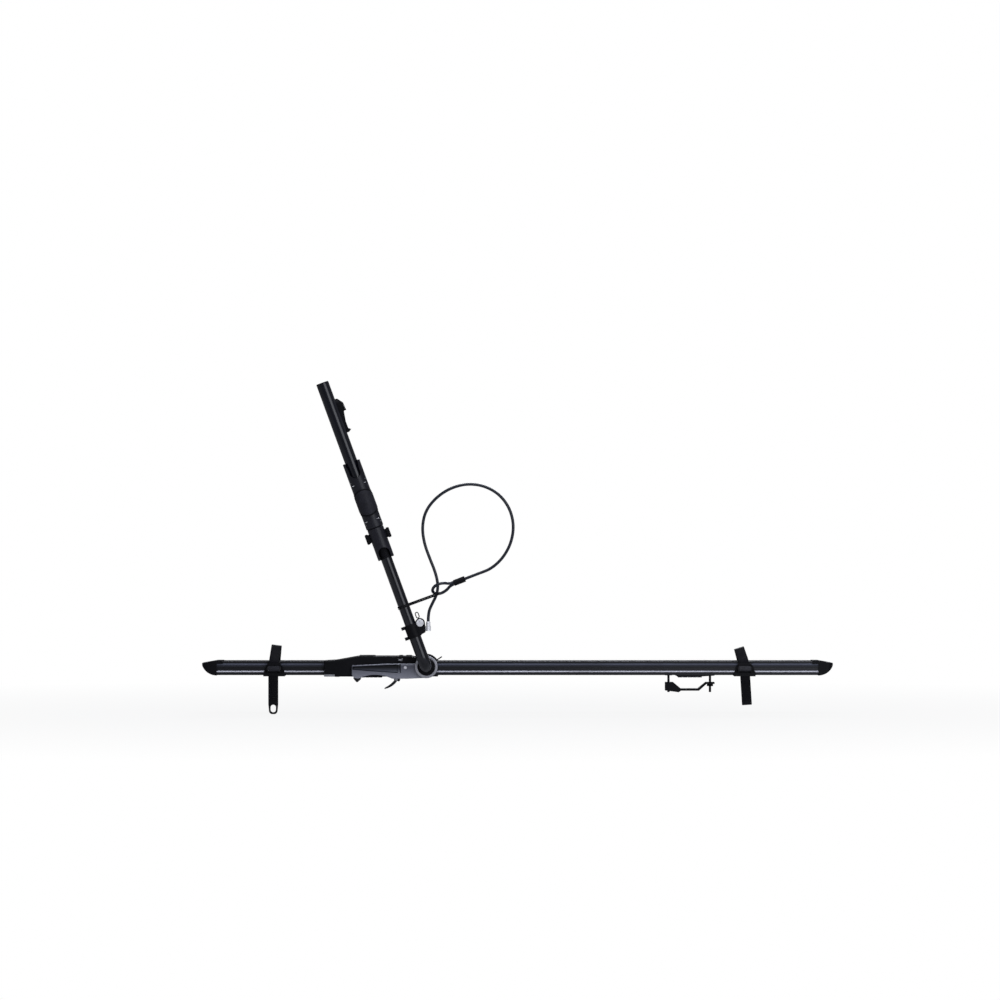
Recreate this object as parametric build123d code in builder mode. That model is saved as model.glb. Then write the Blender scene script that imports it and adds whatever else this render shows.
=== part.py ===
from build123d import *
import math
import os

os.makedirs("parts", exist_ok=True)

# A roof mounted bike carrier. Millimetres. X runs along the tray to the rear, Y across it, Z is up.
# The origin is the middle of the front crossbar seat, on the underside of the rubber base pad.
# The arm stands on the near side, which is -Y.

# Clearances shared by every piece
overrun = 2.0
slide_gap = 0.3
running_fit = 0.06
screw_gap = 0.05

# Tray: an extruded channel with a T-slot in its underside
tray_front_x = -391.0
tray_length = 1518.0
tray_bottom_z = 6.0
tray_height = 35.7
tray_half_width = 40.0
tray_wall = 2.2
rim_width = 5.5
rim_crown = 2.7
rim_side = 3.0
rim_undercut = 1.3
rim_taper = 1.8
waist_depth = 2.1
waist_z = 19.0
ridge_z = 8.9
ridge_band = 1.4
ridge_taper = 1.0
skirt_set_in = 1.8
skirt_lip = 8.2
lip_thickness = 2.0
slot_half_width = 5.5
slot_room_half_width = 12.0
floor_height = 11.5
floor_rise = 6.0
foot_bevel = 2.0

tray_rear_x = tray_front_x + tray_length
tray_top_z = tray_bottom_z + tray_height
slot_lip_z = tray_bottom_z + lip_thickness
slot_roof_z = tray_bottom_z + floor_height - tray_wall

with BuildPart() as tray_channel:
    rim_y = tray_half_width - rim_width
    inner_y = tray_half_width - waist_depth - tray_wall + running_fit
    neck_y = tray_half_width - rim_undercut
    skirt_y = tray_half_width - skirt_set_in
    shoulder_z = tray_height - rim_crown
    web_y = slot_room_half_width + tray_wall
    with BuildSketch(Plane(origin=(tray_front_x, 0, tray_bottom_z), x_dir=(0, 1, 0), z_dir=(1, 0, 0))):
        with BuildLine():
            Polyline(
                (0, floor_height),
                (slot_room_half_width, floor_height),
                (inner_y - foot_bevel, floor_height + floor_rise),
                (inner_y, floor_height + floor_rise + foot_bevel),
                (inner_y, shoulder_z - rim_side - rim_taper),
                (rim_y, shoulder_z - rim_side),
                (rim_y, shoulder_z),
            )
            ThreePointArc(
                (rim_y, shoulder_z),
                (tray_half_width - rim_width / 2, tray_height),
                (tray_half_width, shoulder_z),
            )
            Polyline(
                (tray_half_width, shoulder_z),
                (tray_half_width, shoulder_z - rim_side),
                (neck_y, shoulder_z - rim_side - rim_taper),
            )
            ThreePointArc(
                (neck_y, shoulder_z - rim_side - rim_taper),
                (tray_half_width - waist_depth, waist_z),
                (neck_y, ridge_z + ridge_band / 2 + ridge_taper),
            )
            Polyline(
                (neck_y, ridge_z + ridge_band / 2 + ridge_taper),
                (tray_half_width, ridge_z + ridge_band / 2),
                (tray_half_width, ridge_z - ridge_band / 2),
                (skirt_y, ridge_z - ridge_band / 2 - ridge_taper),
                (skirt_y, 0),
                (skirt_y - skirt_lip, 0),
                (skirt_y - skirt_lip, lip_thickness),
                (skirt_y - tray_wall, lip_thickness),
                (skirt_y - tray_wall, floor_height + floor_rise - tray_wall),
                (web_y, floor_height - tray_wall),
                (web_y, 0),
                (slot_half_width, 0),
                (slot_half_width, lip_thickness),
                (slot_room_half_width, lip_thickness),
                (slot_room_half_width, floor_height - tray_wall),
                (0, floor_height - tray_wall),
            )
            mirror(about=Plane.YZ)
        make_face()
    extrude(amount=tray_length)
tray_channel.part.label = "tray_channel"
export_step(tray_channel.part, "parts/tray_channel.step")

# End caps: moulded noses, alike at both ends, with a bowed underside and a lip lapped over each rim
cap_length = 37.5
cap_tip_z = 30.0
cap_tip_height = 5.0
cap_skin = 1.5
cap_top_skin = 0.8
cap_lap = 15.5
cap_lap_depth = 8.5
cap_under = 1.0
cap_bow_share = (0.62, 0.30)
cap_scoop_share = 0.66
cap_tongue_length = 18.0
cap_tongue_height = 5.5
cap_corner_radius = 16.0

cap_half_width = tray_half_width + cap_skin
cap_ends = (("front_end_cap", tray_front_x, -1), ("rear_end_cap", tray_rear_x, 1))
for cap_name, joint_x, outward in cap_ends:
    side_plane = Plane(origin=(joint_x, 0, tray_bottom_z), x_dir=(outward, 0, 0), z_dir=(0, -outward, 0))
    with BuildPart() as end_cap:
        with BuildSketch(side_plane):
            with BuildLine():
                Polyline(
                    (0, -cap_under),
                    (0, tray_height + cap_top_skin),
                    (cap_length, cap_tip_z),
                    (cap_length, cap_tip_z - cap_tip_height),
                )
                ThreePointArc(
                    (cap_length, cap_tip_z - cap_tip_height),
                    (cap_length * cap_bow_share[0], cap_bow_share[1] * (cap_tip_z - cap_tip_height) - cap_under),
                    (0, -cap_under),
                )
            make_face()
        extrude(amount=cap_half_width, both=True)
        tip_edges = end_cap.edges().filter_by(Axis.Z)
        fillet(tip_edges.group_by(Axis.X)[-1 if outward > 0 else 0], cap_corner_radius)
        # the wheel channel runs on into the nose as a scoop
        with BuildSketch(side_plane):
            with BuildLine():
                Polyline(
                    (-overrun, floor_height + floor_rise),
                    (cap_length * cap_scoop_share / 2, floor_height + floor_rise),
                    (cap_length * cap_scoop_share, tray_height + overrun),
                    (-overrun, tray_height + cap_skin + overrun),
                    close=True,
                )
            make_face()
        extrude(amount=tray_half_width - rim_width, both=True, mode=Mode.SUBTRACT)
        # lips lapped over both rims
        for side in (-1, 1):
            with BuildSketch(side_plane.offset(side * (cap_half_width + tray_half_width - rim_width - cap_skin) / 2)):
                with BuildLine():
                    Polyline(
                        (-cap_lap, tray_height + cap_top_skin - cap_lap_depth),
                        (-cap_lap, tray_height + cap_top_skin),
                        (0, tray_height + cap_top_skin),
                        (0, tray_height + cap_top_skin - cap_lap_depth),
                        close=True,
                    )
                make_face()
            extrude(amount=(rim_width + 2 * cap_skin) / 2, both=True)
            with BuildSketch(side_plane.offset(side * (tray_half_width - rim_width / 2))):
                with Locations((-cap_lap / 2, tray_height / 2)):
                    Rectangle(cap_lap, tray_height + 2 * screw_gap)
            extrude(amount=rim_width / 2 + screw_gap, both=True, mode=Mode.SUBTRACT)
            # tongue pushed into the hollow beside the slot
            with BuildSketch(side_plane.offset(side * (web_y + skirt_y - tray_wall) / 2)):
                with Locations((-cap_tongue_length / 2, lip_thickness + running_fit + cap_tongue_height / 2)):
                    Rectangle(cap_tongue_length, cap_tongue_height)
            extrude(amount=(skirt_y - tray_wall - web_y) / 2 - slide_gap, both=True)
    end_cap.part.label = cap_name
    export_step(end_cap.part, f"parts/{cap_name}.step")

# Base housing: a moulded saddle that wraps the tray above the front crossbar
base_front_x = -119.9
base_rear_x = 167.0
base_half_width = 52.0
base_bottom_z = 2.5
base_nose_z = 41.7
base_crest_z = 53.4
base_crest_front_x = -33.0
base_crest_rear_x = 101.0
base_ramp_length = 57.0
base_tail_z = 44.0
base_tail_ramp = 45.0
base_lip_overlap = 5.0
base_round = 6.0
base_edge_round = 1.5
base_window_length = 66.0
base_window_height = 15.0
crest_pads = ((-12.0, 40.0), (73.0, 10.0), (93.0, 14.0))
crest_pad_width = 11.0
crest_pad_height = 1.4

# Arm pivot
pivot_x = 138.1
pivot_z = 27.8
boss_radius = 29.0
boss_nose_radius = 26.0
boss_inner_y = -46.0
boss_outer_y = -68.0
casting_inner_y = -52.0
casting_outer_y = -62.0
bush_outer_radius = 14.0
hub_shaft_radius = 12.0
pivot_plane = Plane(origin=(pivot_x, 0, pivot_z), x_dir=(1, 0, 0), z_dir=(0, -1, 0))

# Pin of the jaw, between two lugs of the housing
jaw_pin_x = 62.0
jaw_pin_z = -4.0
jaw_pin_radius = 3.0
jaw_half_width = 33.0
jaw_lug_width = 6.0

# Screws that hold the base to nuts in the slot
base_screw_places = (-88.0, 112.0)
base_screw_radius = 3.0
base_screw_head_radius = 5.5
base_screw_head = 2.2
slot_nut_length = 20.0
slot_nut_height = 4.0

with BuildPart() as base_housing:
    with BuildSketch(Plane.XZ) as base_side:
        with BuildLine():
            Polyline(
                (base_front_x, base_bottom_z),
                (base_front_x, base_nose_z),
                (base_crest_front_x - base_ramp_length, base_nose_z + base_edge_round),
                (base_crest_front_x, base_crest_z),
                (base_crest_rear_x, base_crest_z),
                (base_crest_rear_x + base_tail_ramp, base_tail_z),
                (base_rear_x, base_tail_z - base_round),
                (base_rear_x, base_bottom_z),
                close=True,
            )
        make_face()
        fillet(base_side.vertices().group_by(Axis.Y)[-1], base_round)
        fillet(base_side.vertices().sort_by(Axis.X)[:2], base_edge_round)
    extrude(amount=base_half_width, both=True)
    long_edges = base_housing.faces().sort_by(Axis.Y)[0].edges() + base_housing.faces().sort_by(Axis.Y)[-1].edges()
    chamfer(long_edges, base_edge_round)
    # the tray passes through, under lips that hold its rims down
    with BuildSketch(Plane.YZ.offset(base_front_x - overrun)):
        with Locations((0, tray_bottom_z + (tray_height + slide_gap) / 2)):
            Rectangle(2 * (tray_half_width + slide_gap), tray_height + slide_gap)
        with Locations((0, tray_top_z + base_crest_z / 2)):
            Rectangle(2 * (tray_half_width - base_lip_overlap), base_crest_z)
    extrude(amount=base_rear_x - base_front_x + 2 * overrun, mode=Mode.SUBTRACT)
    # low raised pads along the crest of both cheeks
    with BuildSketch(Plane.XY.offset(base_crest_z - base_edge_round)):
        for pad_x, crest_pad_length in crest_pads:
            for side in (-1, 1):
                with Locations((pad_x, side * (base_half_width + tray_half_width - base_lip_overlap) / 2)):
                    RectangleRounded(crest_pad_length, crest_pad_width, base_edge_round)
    extrude(amount=base_edge_round + crest_pad_height)
    # round hole for the pivot boss
    with BuildSketch(pivot_plane.offset(tray_half_width)):
        Circle(boss_radius + slide_gap)
        with Locations((boss_radius, 0)):
            Rectangle(2 * boss_radius, 2 * base_crest_z)
    extrude(amount=base_half_width - tray_half_width + overrun, mode=Mode.SUBTRACT)
    # long windows moulded into the far cheek
    with BuildSketch(Plane.XZ.offset(-base_half_width)):
        with Locations(((base_front_x + base_crest_front_x) / 2, (base_nose_z + base_bottom_z) / 2)):
            SlotOverall(base_window_length, base_window_height)
        with Locations(((base_crest_front_x + base_crest_rear_x) / 2, (base_nose_z + base_bottom_z) / 2)):
            SlotOverall(base_window_length, base_window_height)
    extrude(amount=base_half_width - tray_half_width - tray_wall, mode=Mode.SUBTRACT)
    with BuildSketch(Plane.XY.offset(base_bottom_z - overrun)):
        for screw_x in base_screw_places:
            with Locations((screw_x, 0)):
                Circle(base_screw_radius + screw_gap)
    extrude(amount=tray_bottom_z - base_bottom_z + 2 * overrun, mode=Mode.SUBTRACT)
    # lugs for the pin of the jaw
    for side in (-1, 1):
        lug_y = side * (jaw_half_width + slide_gap + jaw_lug_width / 2)
        with BuildSketch(Plane.XZ.offset(lug_y)):
            with BuildLine():
                Polyline(
                    (jaw_pin_x - jaw_lug_width, base_bottom_z),
                    (jaw_pin_x - jaw_lug_width, jaw_pin_z),
                    (jaw_pin_x + jaw_lug_width, jaw_pin_z),
                    (jaw_pin_x + 2 * jaw_lug_width, base_bottom_z),
                    close=True,
                )
            make_face()
            with Locations((jaw_pin_x, jaw_pin_z)):
                Circle(jaw_lug_width)
                Circle(jaw_pin_radius + screw_gap, mode=Mode.SUBTRACT)
        extrude(amount=jaw_lug_width / 2, both=True)
base_housing.part.label = "base_housing"
export_step(base_housing.part, "parts/base_housing.step")

# Casting: the grey foot plate on the near side, with the pivot boss at its rear end
casting_front_x = -49.6
casting_front_top_z = 31.0
casting_mid_top_z = 35.4
casting_mid_top_x = 38.0
casting_bottom_z = -2.5
casting_arch_x = (-33.0, 52.0)
casting_arch_z = 7.4
casting_front_bottom_z = 7.4
casting_toe_x = -43.3
casting_toe_z = -0.4
casting_round = 2.0
casting_neck_x = 62.0

# Clamp lever, in a pocket of the casting, on an upright pin
lever_pin_x = 68.6
lever_pin_y = -58.0
lever_pin_radius = 2.0
lever_knuckle_radius = 4.0
lever_tip_x = -46.8
lever_top_z = 32.4
lever_bottom_z = 13.4
lever_tip_top_z = 27.0
lever_tip_bottom_z = 21.0
lever_thickness = 6.0
lever_gap = 1.2
lever_dish_depth = 1.2
lever_dish_margin = 3.2
lever_pin_bottom_z = 6.0

# Rivets of the casting
rivet_places = ((85.3, 25.6),)
blind_pin_places = ((-38.0, 8.2), (104.0, 3.2))
blind_pin_length = 6.0
rivet_head_radius = 3.85
rivet_head = 1.4
rivet_radius = 2.5
rivet_taper = 35


def lever_outline(gap):
    """Side outline of the clamp lever, grown by a gap for its pocket."""
    with BuildSketch(mode=Mode.PRIVATE) as outline:
        with BuildLine():
            Polyline(
                (lever_tip_x - gap, lever_tip_bottom_z - gap),
                (lever_tip_x - gap, lever_tip_top_z + gap),
                (lever_pin_x - 2 * lever_knuckle_radius, lever_top_z + gap),
                (lever_pin_x + lever_knuckle_radius + gap, lever_top_z + gap),
                (lever_pin_x + lever_knuckle_radius + gap, lever_bottom_z - gap),
                (lever_pin_x - 2 * lever_knuckle_radius, lever_bottom_z - gap),
                close=True,
            )
        make_face()
        fillet(outline.vertices().group_by(Axis.X)[0], casting_round)
    return outline.sketch


with BuildPart() as base_casting:
    with BuildSketch(Plane.XZ.offset(-casting_inner_y)) as casting_side:
        with BuildLine():
            Polyline(
                (casting_arch_x[0], casting_bottom_z),
                (casting_toe_x, casting_toe_z),
                (casting_front_x, casting_front_bottom_z),
                (casting_front_x, casting_front_top_z),
                (casting_mid_top_x, casting_mid_top_z),
                (pivot_x, casting_mid_top_z),
                (pivot_x, casting_bottom_z + casting_round),
                (casting_neck_x + boss_radius, casting_bottom_z),
                (casting_arch_x[1], casting_bottom_z),
            )
            ThreePointArc(
                (casting_arch_x[1], casting_bottom_z),
                (sum(casting_arch_x) / 2, casting_arch_z),
                (casting_arch_x[0], casting_bottom_z),
            )
        make_face()
        fillet(casting_side.vertices().sort_by(Axis.X)[:2], casting_round)
    extrude(amount=casting_inner_y - casting_outer_y)
    with BuildSketch(pivot_plane.offset(-boss_inner_y)):
        Circle(boss_radius)
    extrude(amount=boss_inner_y - casting_outer_y)
    outer_edges = base_casting.faces().sort_by(Axis.Y)[0].outer_wire().edges()
    chamfer(outer_edges, casting_round / 2)
    with BuildSketch(pivot_plane.offset(-casting_outer_y)):
        Circle(boss_nose_radius)
    extrude(amount=casting_outer_y - boss_outer_y)
    with BuildSketch(Plane.XZ.offset(-casting_outer_y + overrun)):
        add(lever_outline(lever_gap))
    extrude(amount=casting_outer_y - casting_inner_y - 2 * overrun, mode=Mode.SUBTRACT)
    with BuildSketch(Plane.XY.offset(lever_pin_bottom_z)):
        with Locations((lever_pin_x, lever_pin_y)):
            Circle(lever_pin_radius + screw_gap)
    extrude(amount=casting_mid_top_z, mode=Mode.SUBTRACT)
    with BuildSketch(Plane.XZ.offset(-casting_outer_y + overrun)):
        with Locations(*rivet_places):
            Circle(rivet_radius + screw_gap)
    extrude(amount=-(casting_inner_y - casting_outer_y) - 2 * overrun, mode=Mode.SUBTRACT)
    with BuildSketch(Plane.XZ.offset(-casting_inner_y - overrun)):
        with Locations(*blind_pin_places):
            Circle(rivet_radius + screw_gap)
    extrude(amount=blind_pin_length + overrun, mode=Mode.SUBTRACT)
    with BuildSketch(pivot_plane.offset(-boss_inner_y - overrun)):
        Circle(bush_outer_radius + screw_gap / 2)
    extrude(amount=boss_inner_y - boss_outer_y + 2 * overrun, mode=Mode.SUBTRACT)
base_casting.part.label = "base_casting"
export_step(base_casting.part, "parts/base_casting.step")

with BuildPart() as casting_rivets:
    with BuildSketch(Plane.XZ.offset(-casting_outer_y)):
        with Locations(*rivet_places):
            Circle(rivet_head_radius)
    extrude(amount=rivet_head, taper=rivet_taper)
    with BuildSketch(Plane.XZ.offset(-casting_outer_y)):
        with Locations(*rivet_places):
            Circle(rivet_radius)
    extrude(amount=casting_outer_y - casting_inner_y)
    with BuildSketch(Plane.XZ.offset(-casting_inner_y)):
        with Locations(*blind_pin_places):
            Circle(rivet_radius)
    extrude(amount=blind_pin_length)
casting_rivets.part.label = "casting_rivets"
export_step(casting_rivets.part, "parts/casting_rivets.step")

with BuildPart() as clamp_lever:
    lever_inner_y = lever_pin_y + lever_knuckle_radius - lever_gap
    with BuildSketch(Plane.XZ.offset(-lever_inner_y)):
        add(lever_outline(0))
    extrude(amount=lever_thickness)
    outer_face = clamp_lever.faces().sort_by(Axis.Y)[0]
    chamfer(outer_face.edges().group_by(Axis.X)[0], lever_gap)
    with BuildSketch(Plane.XZ.offset(-lever_inner_y + lever_thickness)):
        offset(add(lever_outline(0)), amount=-lever_dish_margin, mode=Mode.REPLACE)
    extrude(amount=-lever_dish_depth, mode=Mode.SUBTRACT)
    # the knuckle replaces the square end of the plate
    with BuildSketch(Plane.XY.offset(lever_bottom_z - overrun)):
        with Locations((lever_pin_x + lever_knuckle_radius, lever_pin_y)):
            Rectangle(2 * lever_knuckle_radius, 4 * lever_knuckle_radius)
    extrude(amount=lever_top_z - lever_bottom_z + 2 * overrun, mode=Mode.SUBTRACT)
    with BuildSketch(Plane.XY.offset(lever_bottom_z)):
        with Locations((lever_pin_x, lever_pin_y)):
            Circle(lever_knuckle_radius)
    extrude(amount=lever_top_z - lever_bottom_z)
    with BuildSketch(Plane.XY.offset(lever_bottom_z - overrun)):
        with Locations((lever_pin_x, lever_pin_y)):
            Circle(lever_pin_radius + running_fit)
    extrude(amount=lever_top_z - lever_bottom_z + 2 * overrun, mode=Mode.SUBTRACT)
clamp_lever.part.label = "clamp_lever"
export_step(clamp_lever.part, "parts/clamp_lever.step")

with BuildPart() as lever_pin:
    with BuildSketch(Plane.XY.offset(lever_pin_bottom_z)):
        with Locations((lever_pin_x, lever_pin_y)):
            Circle(lever_pin_radius)
    extrude(amount=casting_mid_top_z - lever_pin_bottom_z)
lever_pin.part.label = "lever_pin"
export_step(lever_pin.part, "parts/lever_pin.step")

# Base screws and their nuts in the slot of the tray
with BuildPart() as base_screws:
    for screw_x in base_screw_places:
        with BuildSketch(Plane.XY.offset(base_bottom_z)):
            with Locations((screw_x, 0)):
                Circle(base_screw_head_radius)
        extrude(amount=-base_screw_head)
        with BuildSketch(Plane.XY.offset(base_bottom_z)):
            with Locations((screw_x, 0)):
                Circle(base_screw_radius)
        extrude(amount=slot_lip_z - base_bottom_z)
        with BuildSketch(Plane.XY.offset(slot_lip_z)):
            with Locations((screw_x, 0)):
                RectangleRounded(slot_nut_length, 2 * (slot_room_half_width - slide_gap), base_screw_radius)
        extrude(amount=slot_nut_height)
base_screws.part.label = "base_screws"
export_step(base_screws.part, "parts/base_screws.step")

# Rubber pad on the crossbar, with grooves across its underside
pad_length = 52.0
pad_half_width = 44.0
pad_groove_width = 2.0
pad_groove_depth = 0.8
pad_groove_count = 5
with BuildPart() as base_pad:
    with BuildSketch(Plane.XY):
        RectangleRounded(pad_length, 2 * pad_half_width, 2 * pad_groove_width)
    extrude(amount=base_bottom_z)
    with BuildSketch(Plane.XZ):
        with GridLocations(pad_length / pad_groove_count, 0, pad_groove_count - 1, 1):
            Rectangle(pad_groove_width, 2 * pad_groove_depth)
    extrude(amount=pad_half_width + overrun, both=True, mode=Mode.SUBTRACT)
base_pad.part.label = "base_pad"
export_step(base_pad.part, "parts/base_pad.step")

# Fixed claw in front of the crossbar, bent from plate
claw_front_x = -46.0
claw_rear_x = -28.5
claw_toe_x = (-38.5, -35.5)
claw_toe_z = -12.0
claw_heel_x = -28.0
claw_heel_z = -5.5
claw_shoulder_z = -3.5
claw_thickness = 4.0
claw_half_width = 34.0
with BuildPart() as front_claw:
    with BuildSketch(Plane.XZ):
        with BuildLine():
            Polyline(
                (claw_front_x, base_bottom_z),
                (claw_rear_x, base_bottom_z),
                (claw_heel_x, claw_heel_z),
                (claw_toe_x[1], claw_toe_z),
                (claw_toe_x[0], claw_toe_z),
                (claw_front_x, claw_shoulder_z),
                close=True,
            )
        make_face()
    extrude(amount=claw_half_width, both=True)
    claw_ends = front_claw.faces().sort_by(Axis.Y)
    chamfer(claw_ends[0].edges() + claw_ends[-1].edges(), claw_thickness / 4)
front_claw.part.label = "front_claw"
export_step(front_claw.part, "parts/front_claw.step")

# Jaw behind the crossbar: it hangs from a pin between two lugs of the housing
jaw_knuckle_radius = 6.0
jaw_outer_curve = ((64.0, -9.7), (54.0, -20.0), (31.6, -29.3))
jaw_inner_curve = ((32.5, -27.3), (48.0, -17.0), (57.0, -7.3))
jaw_ear_radius = 3.2
with BuildPart() as clamp_jaw:
    with BuildSketch(Plane.XZ):
        with BuildLine():
            ThreePointArc(*jaw_outer_curve)
            Line(jaw_outer_curve[-1], jaw_inner_curve[0])
            ThreePointArc(*jaw_inner_curve)
            Line(jaw_inner_curve[-1], jaw_outer_curve[0])
        make_face()
        with Locations((jaw_pin_x + jaw_knuckle_radius, jaw_pin_z - jaw_knuckle_radius / 2)):
            Circle(jaw_ear_radius)
        with Locations((jaw_pin_x, jaw_pin_z)):
            Circle(jaw_knuckle_radius)
            Circle(jaw_pin_radius + running_fit, mode=Mode.SUBTRACT)
    extrude(amount=jaw_half_width, both=True)
clamp_jaw.part.label = "clamp_jaw"
export_step(clamp_jaw.part, "parts/clamp_jaw.step")

with BuildPart() as jaw_pin:
    with BuildSketch(Plane.XZ):
        with Locations((jaw_pin_x, jaw_pin_z)):
            Circle(jaw_pin_radius)
    extrude(amount=jaw_half_width + slide_gap + jaw_lug_width, both=True)
    with BuildSketch(Plane.XZ.offset(jaw_half_width + slide_gap + jaw_lug_width)):
        with Locations((jaw_pin_x, jaw_pin_z)):
            Circle(jaw_pin_radius + rivet_head)
    extrude(amount=rivet_head)
    with BuildSketch(Plane.XZ.offset(-jaw_half_width - slide_gap - jaw_lug_width)):
        with Locations((jaw_pin_x, jaw_pin_z)):
            Circle(jaw_pin_radius + rivet_head)
    extrude(amount=-rivet_head)
jaw_pin.part.label = "jaw_pin"
export_step(jaw_pin.part, "parts/jaw_pin.step")

# Step plate under the nose of the housing, and the latch plate on its near cheek
nose_plate_length = 27.0
nose_plate_thickness = 5.1
nose_plate_z = 3.0
with BuildPart() as nose_plate:
    with BuildSketch(Plane.XZ.offset(base_half_width)):
        with Locations((base_front_x + nose_plate_length / 2, nose_plate_z + nose_plate_thickness / 2)):
            RectangleRounded(nose_plate_length, nose_plate_thickness, lip_thickness / 2)
    extrude(amount=lip_thickness)
nose_plate.part.label = "nose_plate"
export_step(nose_plate.part, "parts/nose_plate.step")

latch_plate_x = 72.9
latch_plate_z = 44.5
latch_plate_length = 12.2
latch_plate_height = 5.6
with BuildPart() as latch_plate:
    with BuildSketch(Plane.XZ.offset(base_half_width)):
        with Locations((latch_plate_x, latch_plate_z)):
            RectangleRounded(latch_plate_length, latch_plate_height, lip_thickness / 2)
    extrude(amount=lip_thickness, taper=rivet_taper)
latch_plate.part.label = "latch_plate"
export_step(latch_plate.part, "parts/latch_plate.step")

# Pivot: ring and bush on the casting
ring_radius = 28.5
ring_bore_radius = 21.9
ring_outer_y = -74.0
ring_round = 1.2
with BuildPart() as pivot_ring:
    with BuildSketch(pivot_plane.offset(-boss_outer_y)):
        Circle(ring_radius)
        Circle(ring_bore_radius, mode=Mode.SUBTRACT)
    extrude(amount=boss_outer_y - ring_outer_y)
    fillet(pivot_ring.edges().filter_by(GeomType.CIRCLE).sort_by(Axis.Y)[0:2], ring_round)
pivot_ring.part.label = "pivot_ring"
export_step(pivot_ring.part, "parts/pivot_ring.step")

with BuildPart() as pivot_bush:
    with BuildSketch(pivot_plane.offset(-boss_inner_y)):
        Circle(bush_outer_radius)
        Circle(hub_shaft_radius + running_fit, mode=Mode.SUBTRACT)
    extrude(amount=boss_inner_y - boss_outer_y)
pivot_bush.part.label = "pivot_bush"
export_step(pivot_bush.part, "parts/pivot_bush.step")

# Release tab: a collar that turns on the nose of the boss, behind the ring
tab_collar_radius = 28.8
tab_rim_radius = 33.0
tab_rim_start = 30.0
tab_rim_arc = 76.0
tab_angle = 33.0
tab_reach = 47.0
tab_thickness = 3.0
with BuildPart() as release_tab:
    tab_plane = pivot_plane.offset(-casting_outer_y + slide_gap)
    tab_width = casting_outer_y - boss_outer_y - 2 * slide_gap
    with BuildSketch(tab_plane):
        Circle(tab_collar_radius)
        with BuildLine():
            rim_arc = CenterArc((0, 0), tab_rim_radius, tab_rim_start, tab_rim_arc)
            Line((0, 0), rim_arc @ 0)
            Line((0, 0), rim_arc @ 1)
        make_face()
        with Locations(Rotation(0, 0, tab_angle)):
            with Locations((tab_reach / 2, 0)):
                RectangleRounded(tab_reach, tab_thickness, tab_thickness / 3)
        Circle(boss_nose_radius + slide_gap, mode=Mode.SUBTRACT)
    extrude(amount=tab_width)
release_tab.part.label = "release_tab"
export_step(release_tab.part, "parts/release_tab.step")

# Arm: leans forward from the pivot, in its own plane beside the tray
arm_lean = 20.07
arm_y = -100.0
arm_up = Vector(-math.sin(math.radians(arm_lean)), 0, math.cos(math.radians(arm_lean)))
arm_right = Vector(math.cos(math.radians(arm_lean)), 0, math.sin(math.radians(arm_lean)))
arm_foot = Vector(pivot_x, arm_y, pivot_z)
arm_side = Plane(origin=arm_foot, x_dir=arm_right, z_dir=(0, -1, 0))
arm_front = Plane(origin=arm_foot, x_dir=(0, 1, 0), z_dir=arm_right)


def arm_section(height):
    """Plane across the arm at a height along it, with X to the right and Y across the tray."""
    return Plane(origin=arm_foot + arm_up * height, x_dir=arm_right, z_dir=arm_up)


hub_radius = 21.6
hub_outer_y = -72.0
hub_gap = 0.2
with BuildPart() as pivot_hub:
    with BuildSketch(pivot_plane.offset(-boss_outer_y + hub_gap)):
        Circle(hub_radius)
    extrude(amount=boss_outer_y - hub_gap - hub_outer_y)
    fillet(pivot_hub.edges().filter_by(GeomType.CIRCLE).sort_by(Axis.Y)[0], ring_round)
    with BuildSketch(pivot_plane.offset(-boss_outer_y + hub_gap)):
        Circle(hub_shaft_radius)
    extrude(amount=-(boss_inner_y - boss_outer_y) - 2 * hub_gap)
pivot_hub.part.label = "pivot_hub"
export_step(pivot_hub.part, "parts/pivot_hub.step")

retainer_radius = 17.0
retainer_thickness = 2.2
retainer_head_radius = 6.5
retainer_head = 2.2
with BuildPart() as pivot_retainer:
    with BuildSketch(pivot_plane.offset(-boss_inner_y - hub_gap)):
        Circle(retainer_radius)
    extrude(amount=-retainer_thickness)
    with BuildSketch(pivot_plane.offset(-boss_inner_y - hub_gap - retainer_thickness)):
        RegularPolygon(retainer_head_radius, 6)
    extrude(amount=-retainer_head)
pivot_retainer.part.label = "pivot_retainer"
export_step(pivot_retainer.part, "parts/pivot_retainer.step")

# Elbow tube, lower tube and upper tube
elbow_radius = 15.0
elbow_wall = 2.0
lower_radius = 14.0
lower_wall = 2.0
upper_radius = 16.0
upper_wall = 1.6
joint_height = 96.0
lower_top = 600.0
shell_bottom = 373.5
shell_length = 175.5
hook_space = 73.0
upper_tube_hidden = 31.5
hook_below_cap = 136.0
cap_disc = 2.5
cap_plug = 12.0
elbow_turn = 90.0
shell_top = shell_bottom + shell_length
hook_foot = shell_top + hook_space
upper_bottom = shell_bottom + upper_tube_hidden
upper_top = hook_foot + hook_below_cap
elbow_bend = hub_outer_y - arm_y
elbow_plane = Plane(
    origin=(pivot_x, hub_outer_y, pivot_z),
    x_dir=(0, -1, 0),
    z_dir=arm_right * -1,
)
with BuildPart() as elbow_tube:
    with BuildLine(elbow_plane) as elbow_path:
        bend = JernArc(start=(0, 0), tangent=(1, 0), radius=elbow_bend, arc_size=elbow_turn)
        Line(bend @ 1, (elbow_bend, joint_height))
    with BuildSketch(Plane(origin=(pivot_x, hub_outer_y, pivot_z), x_dir=(1, 0, 0), z_dir=(0, -1, 0))):
        Circle(elbow_radius)
        Circle(elbow_radius - elbow_wall, mode=Mode.SUBTRACT)
    sweep(path=elbow_path.wires()[0])
elbow_tube.part.label = "elbow_tube"
export_step(elbow_tube.part, "parts/elbow_tube.step")

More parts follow.
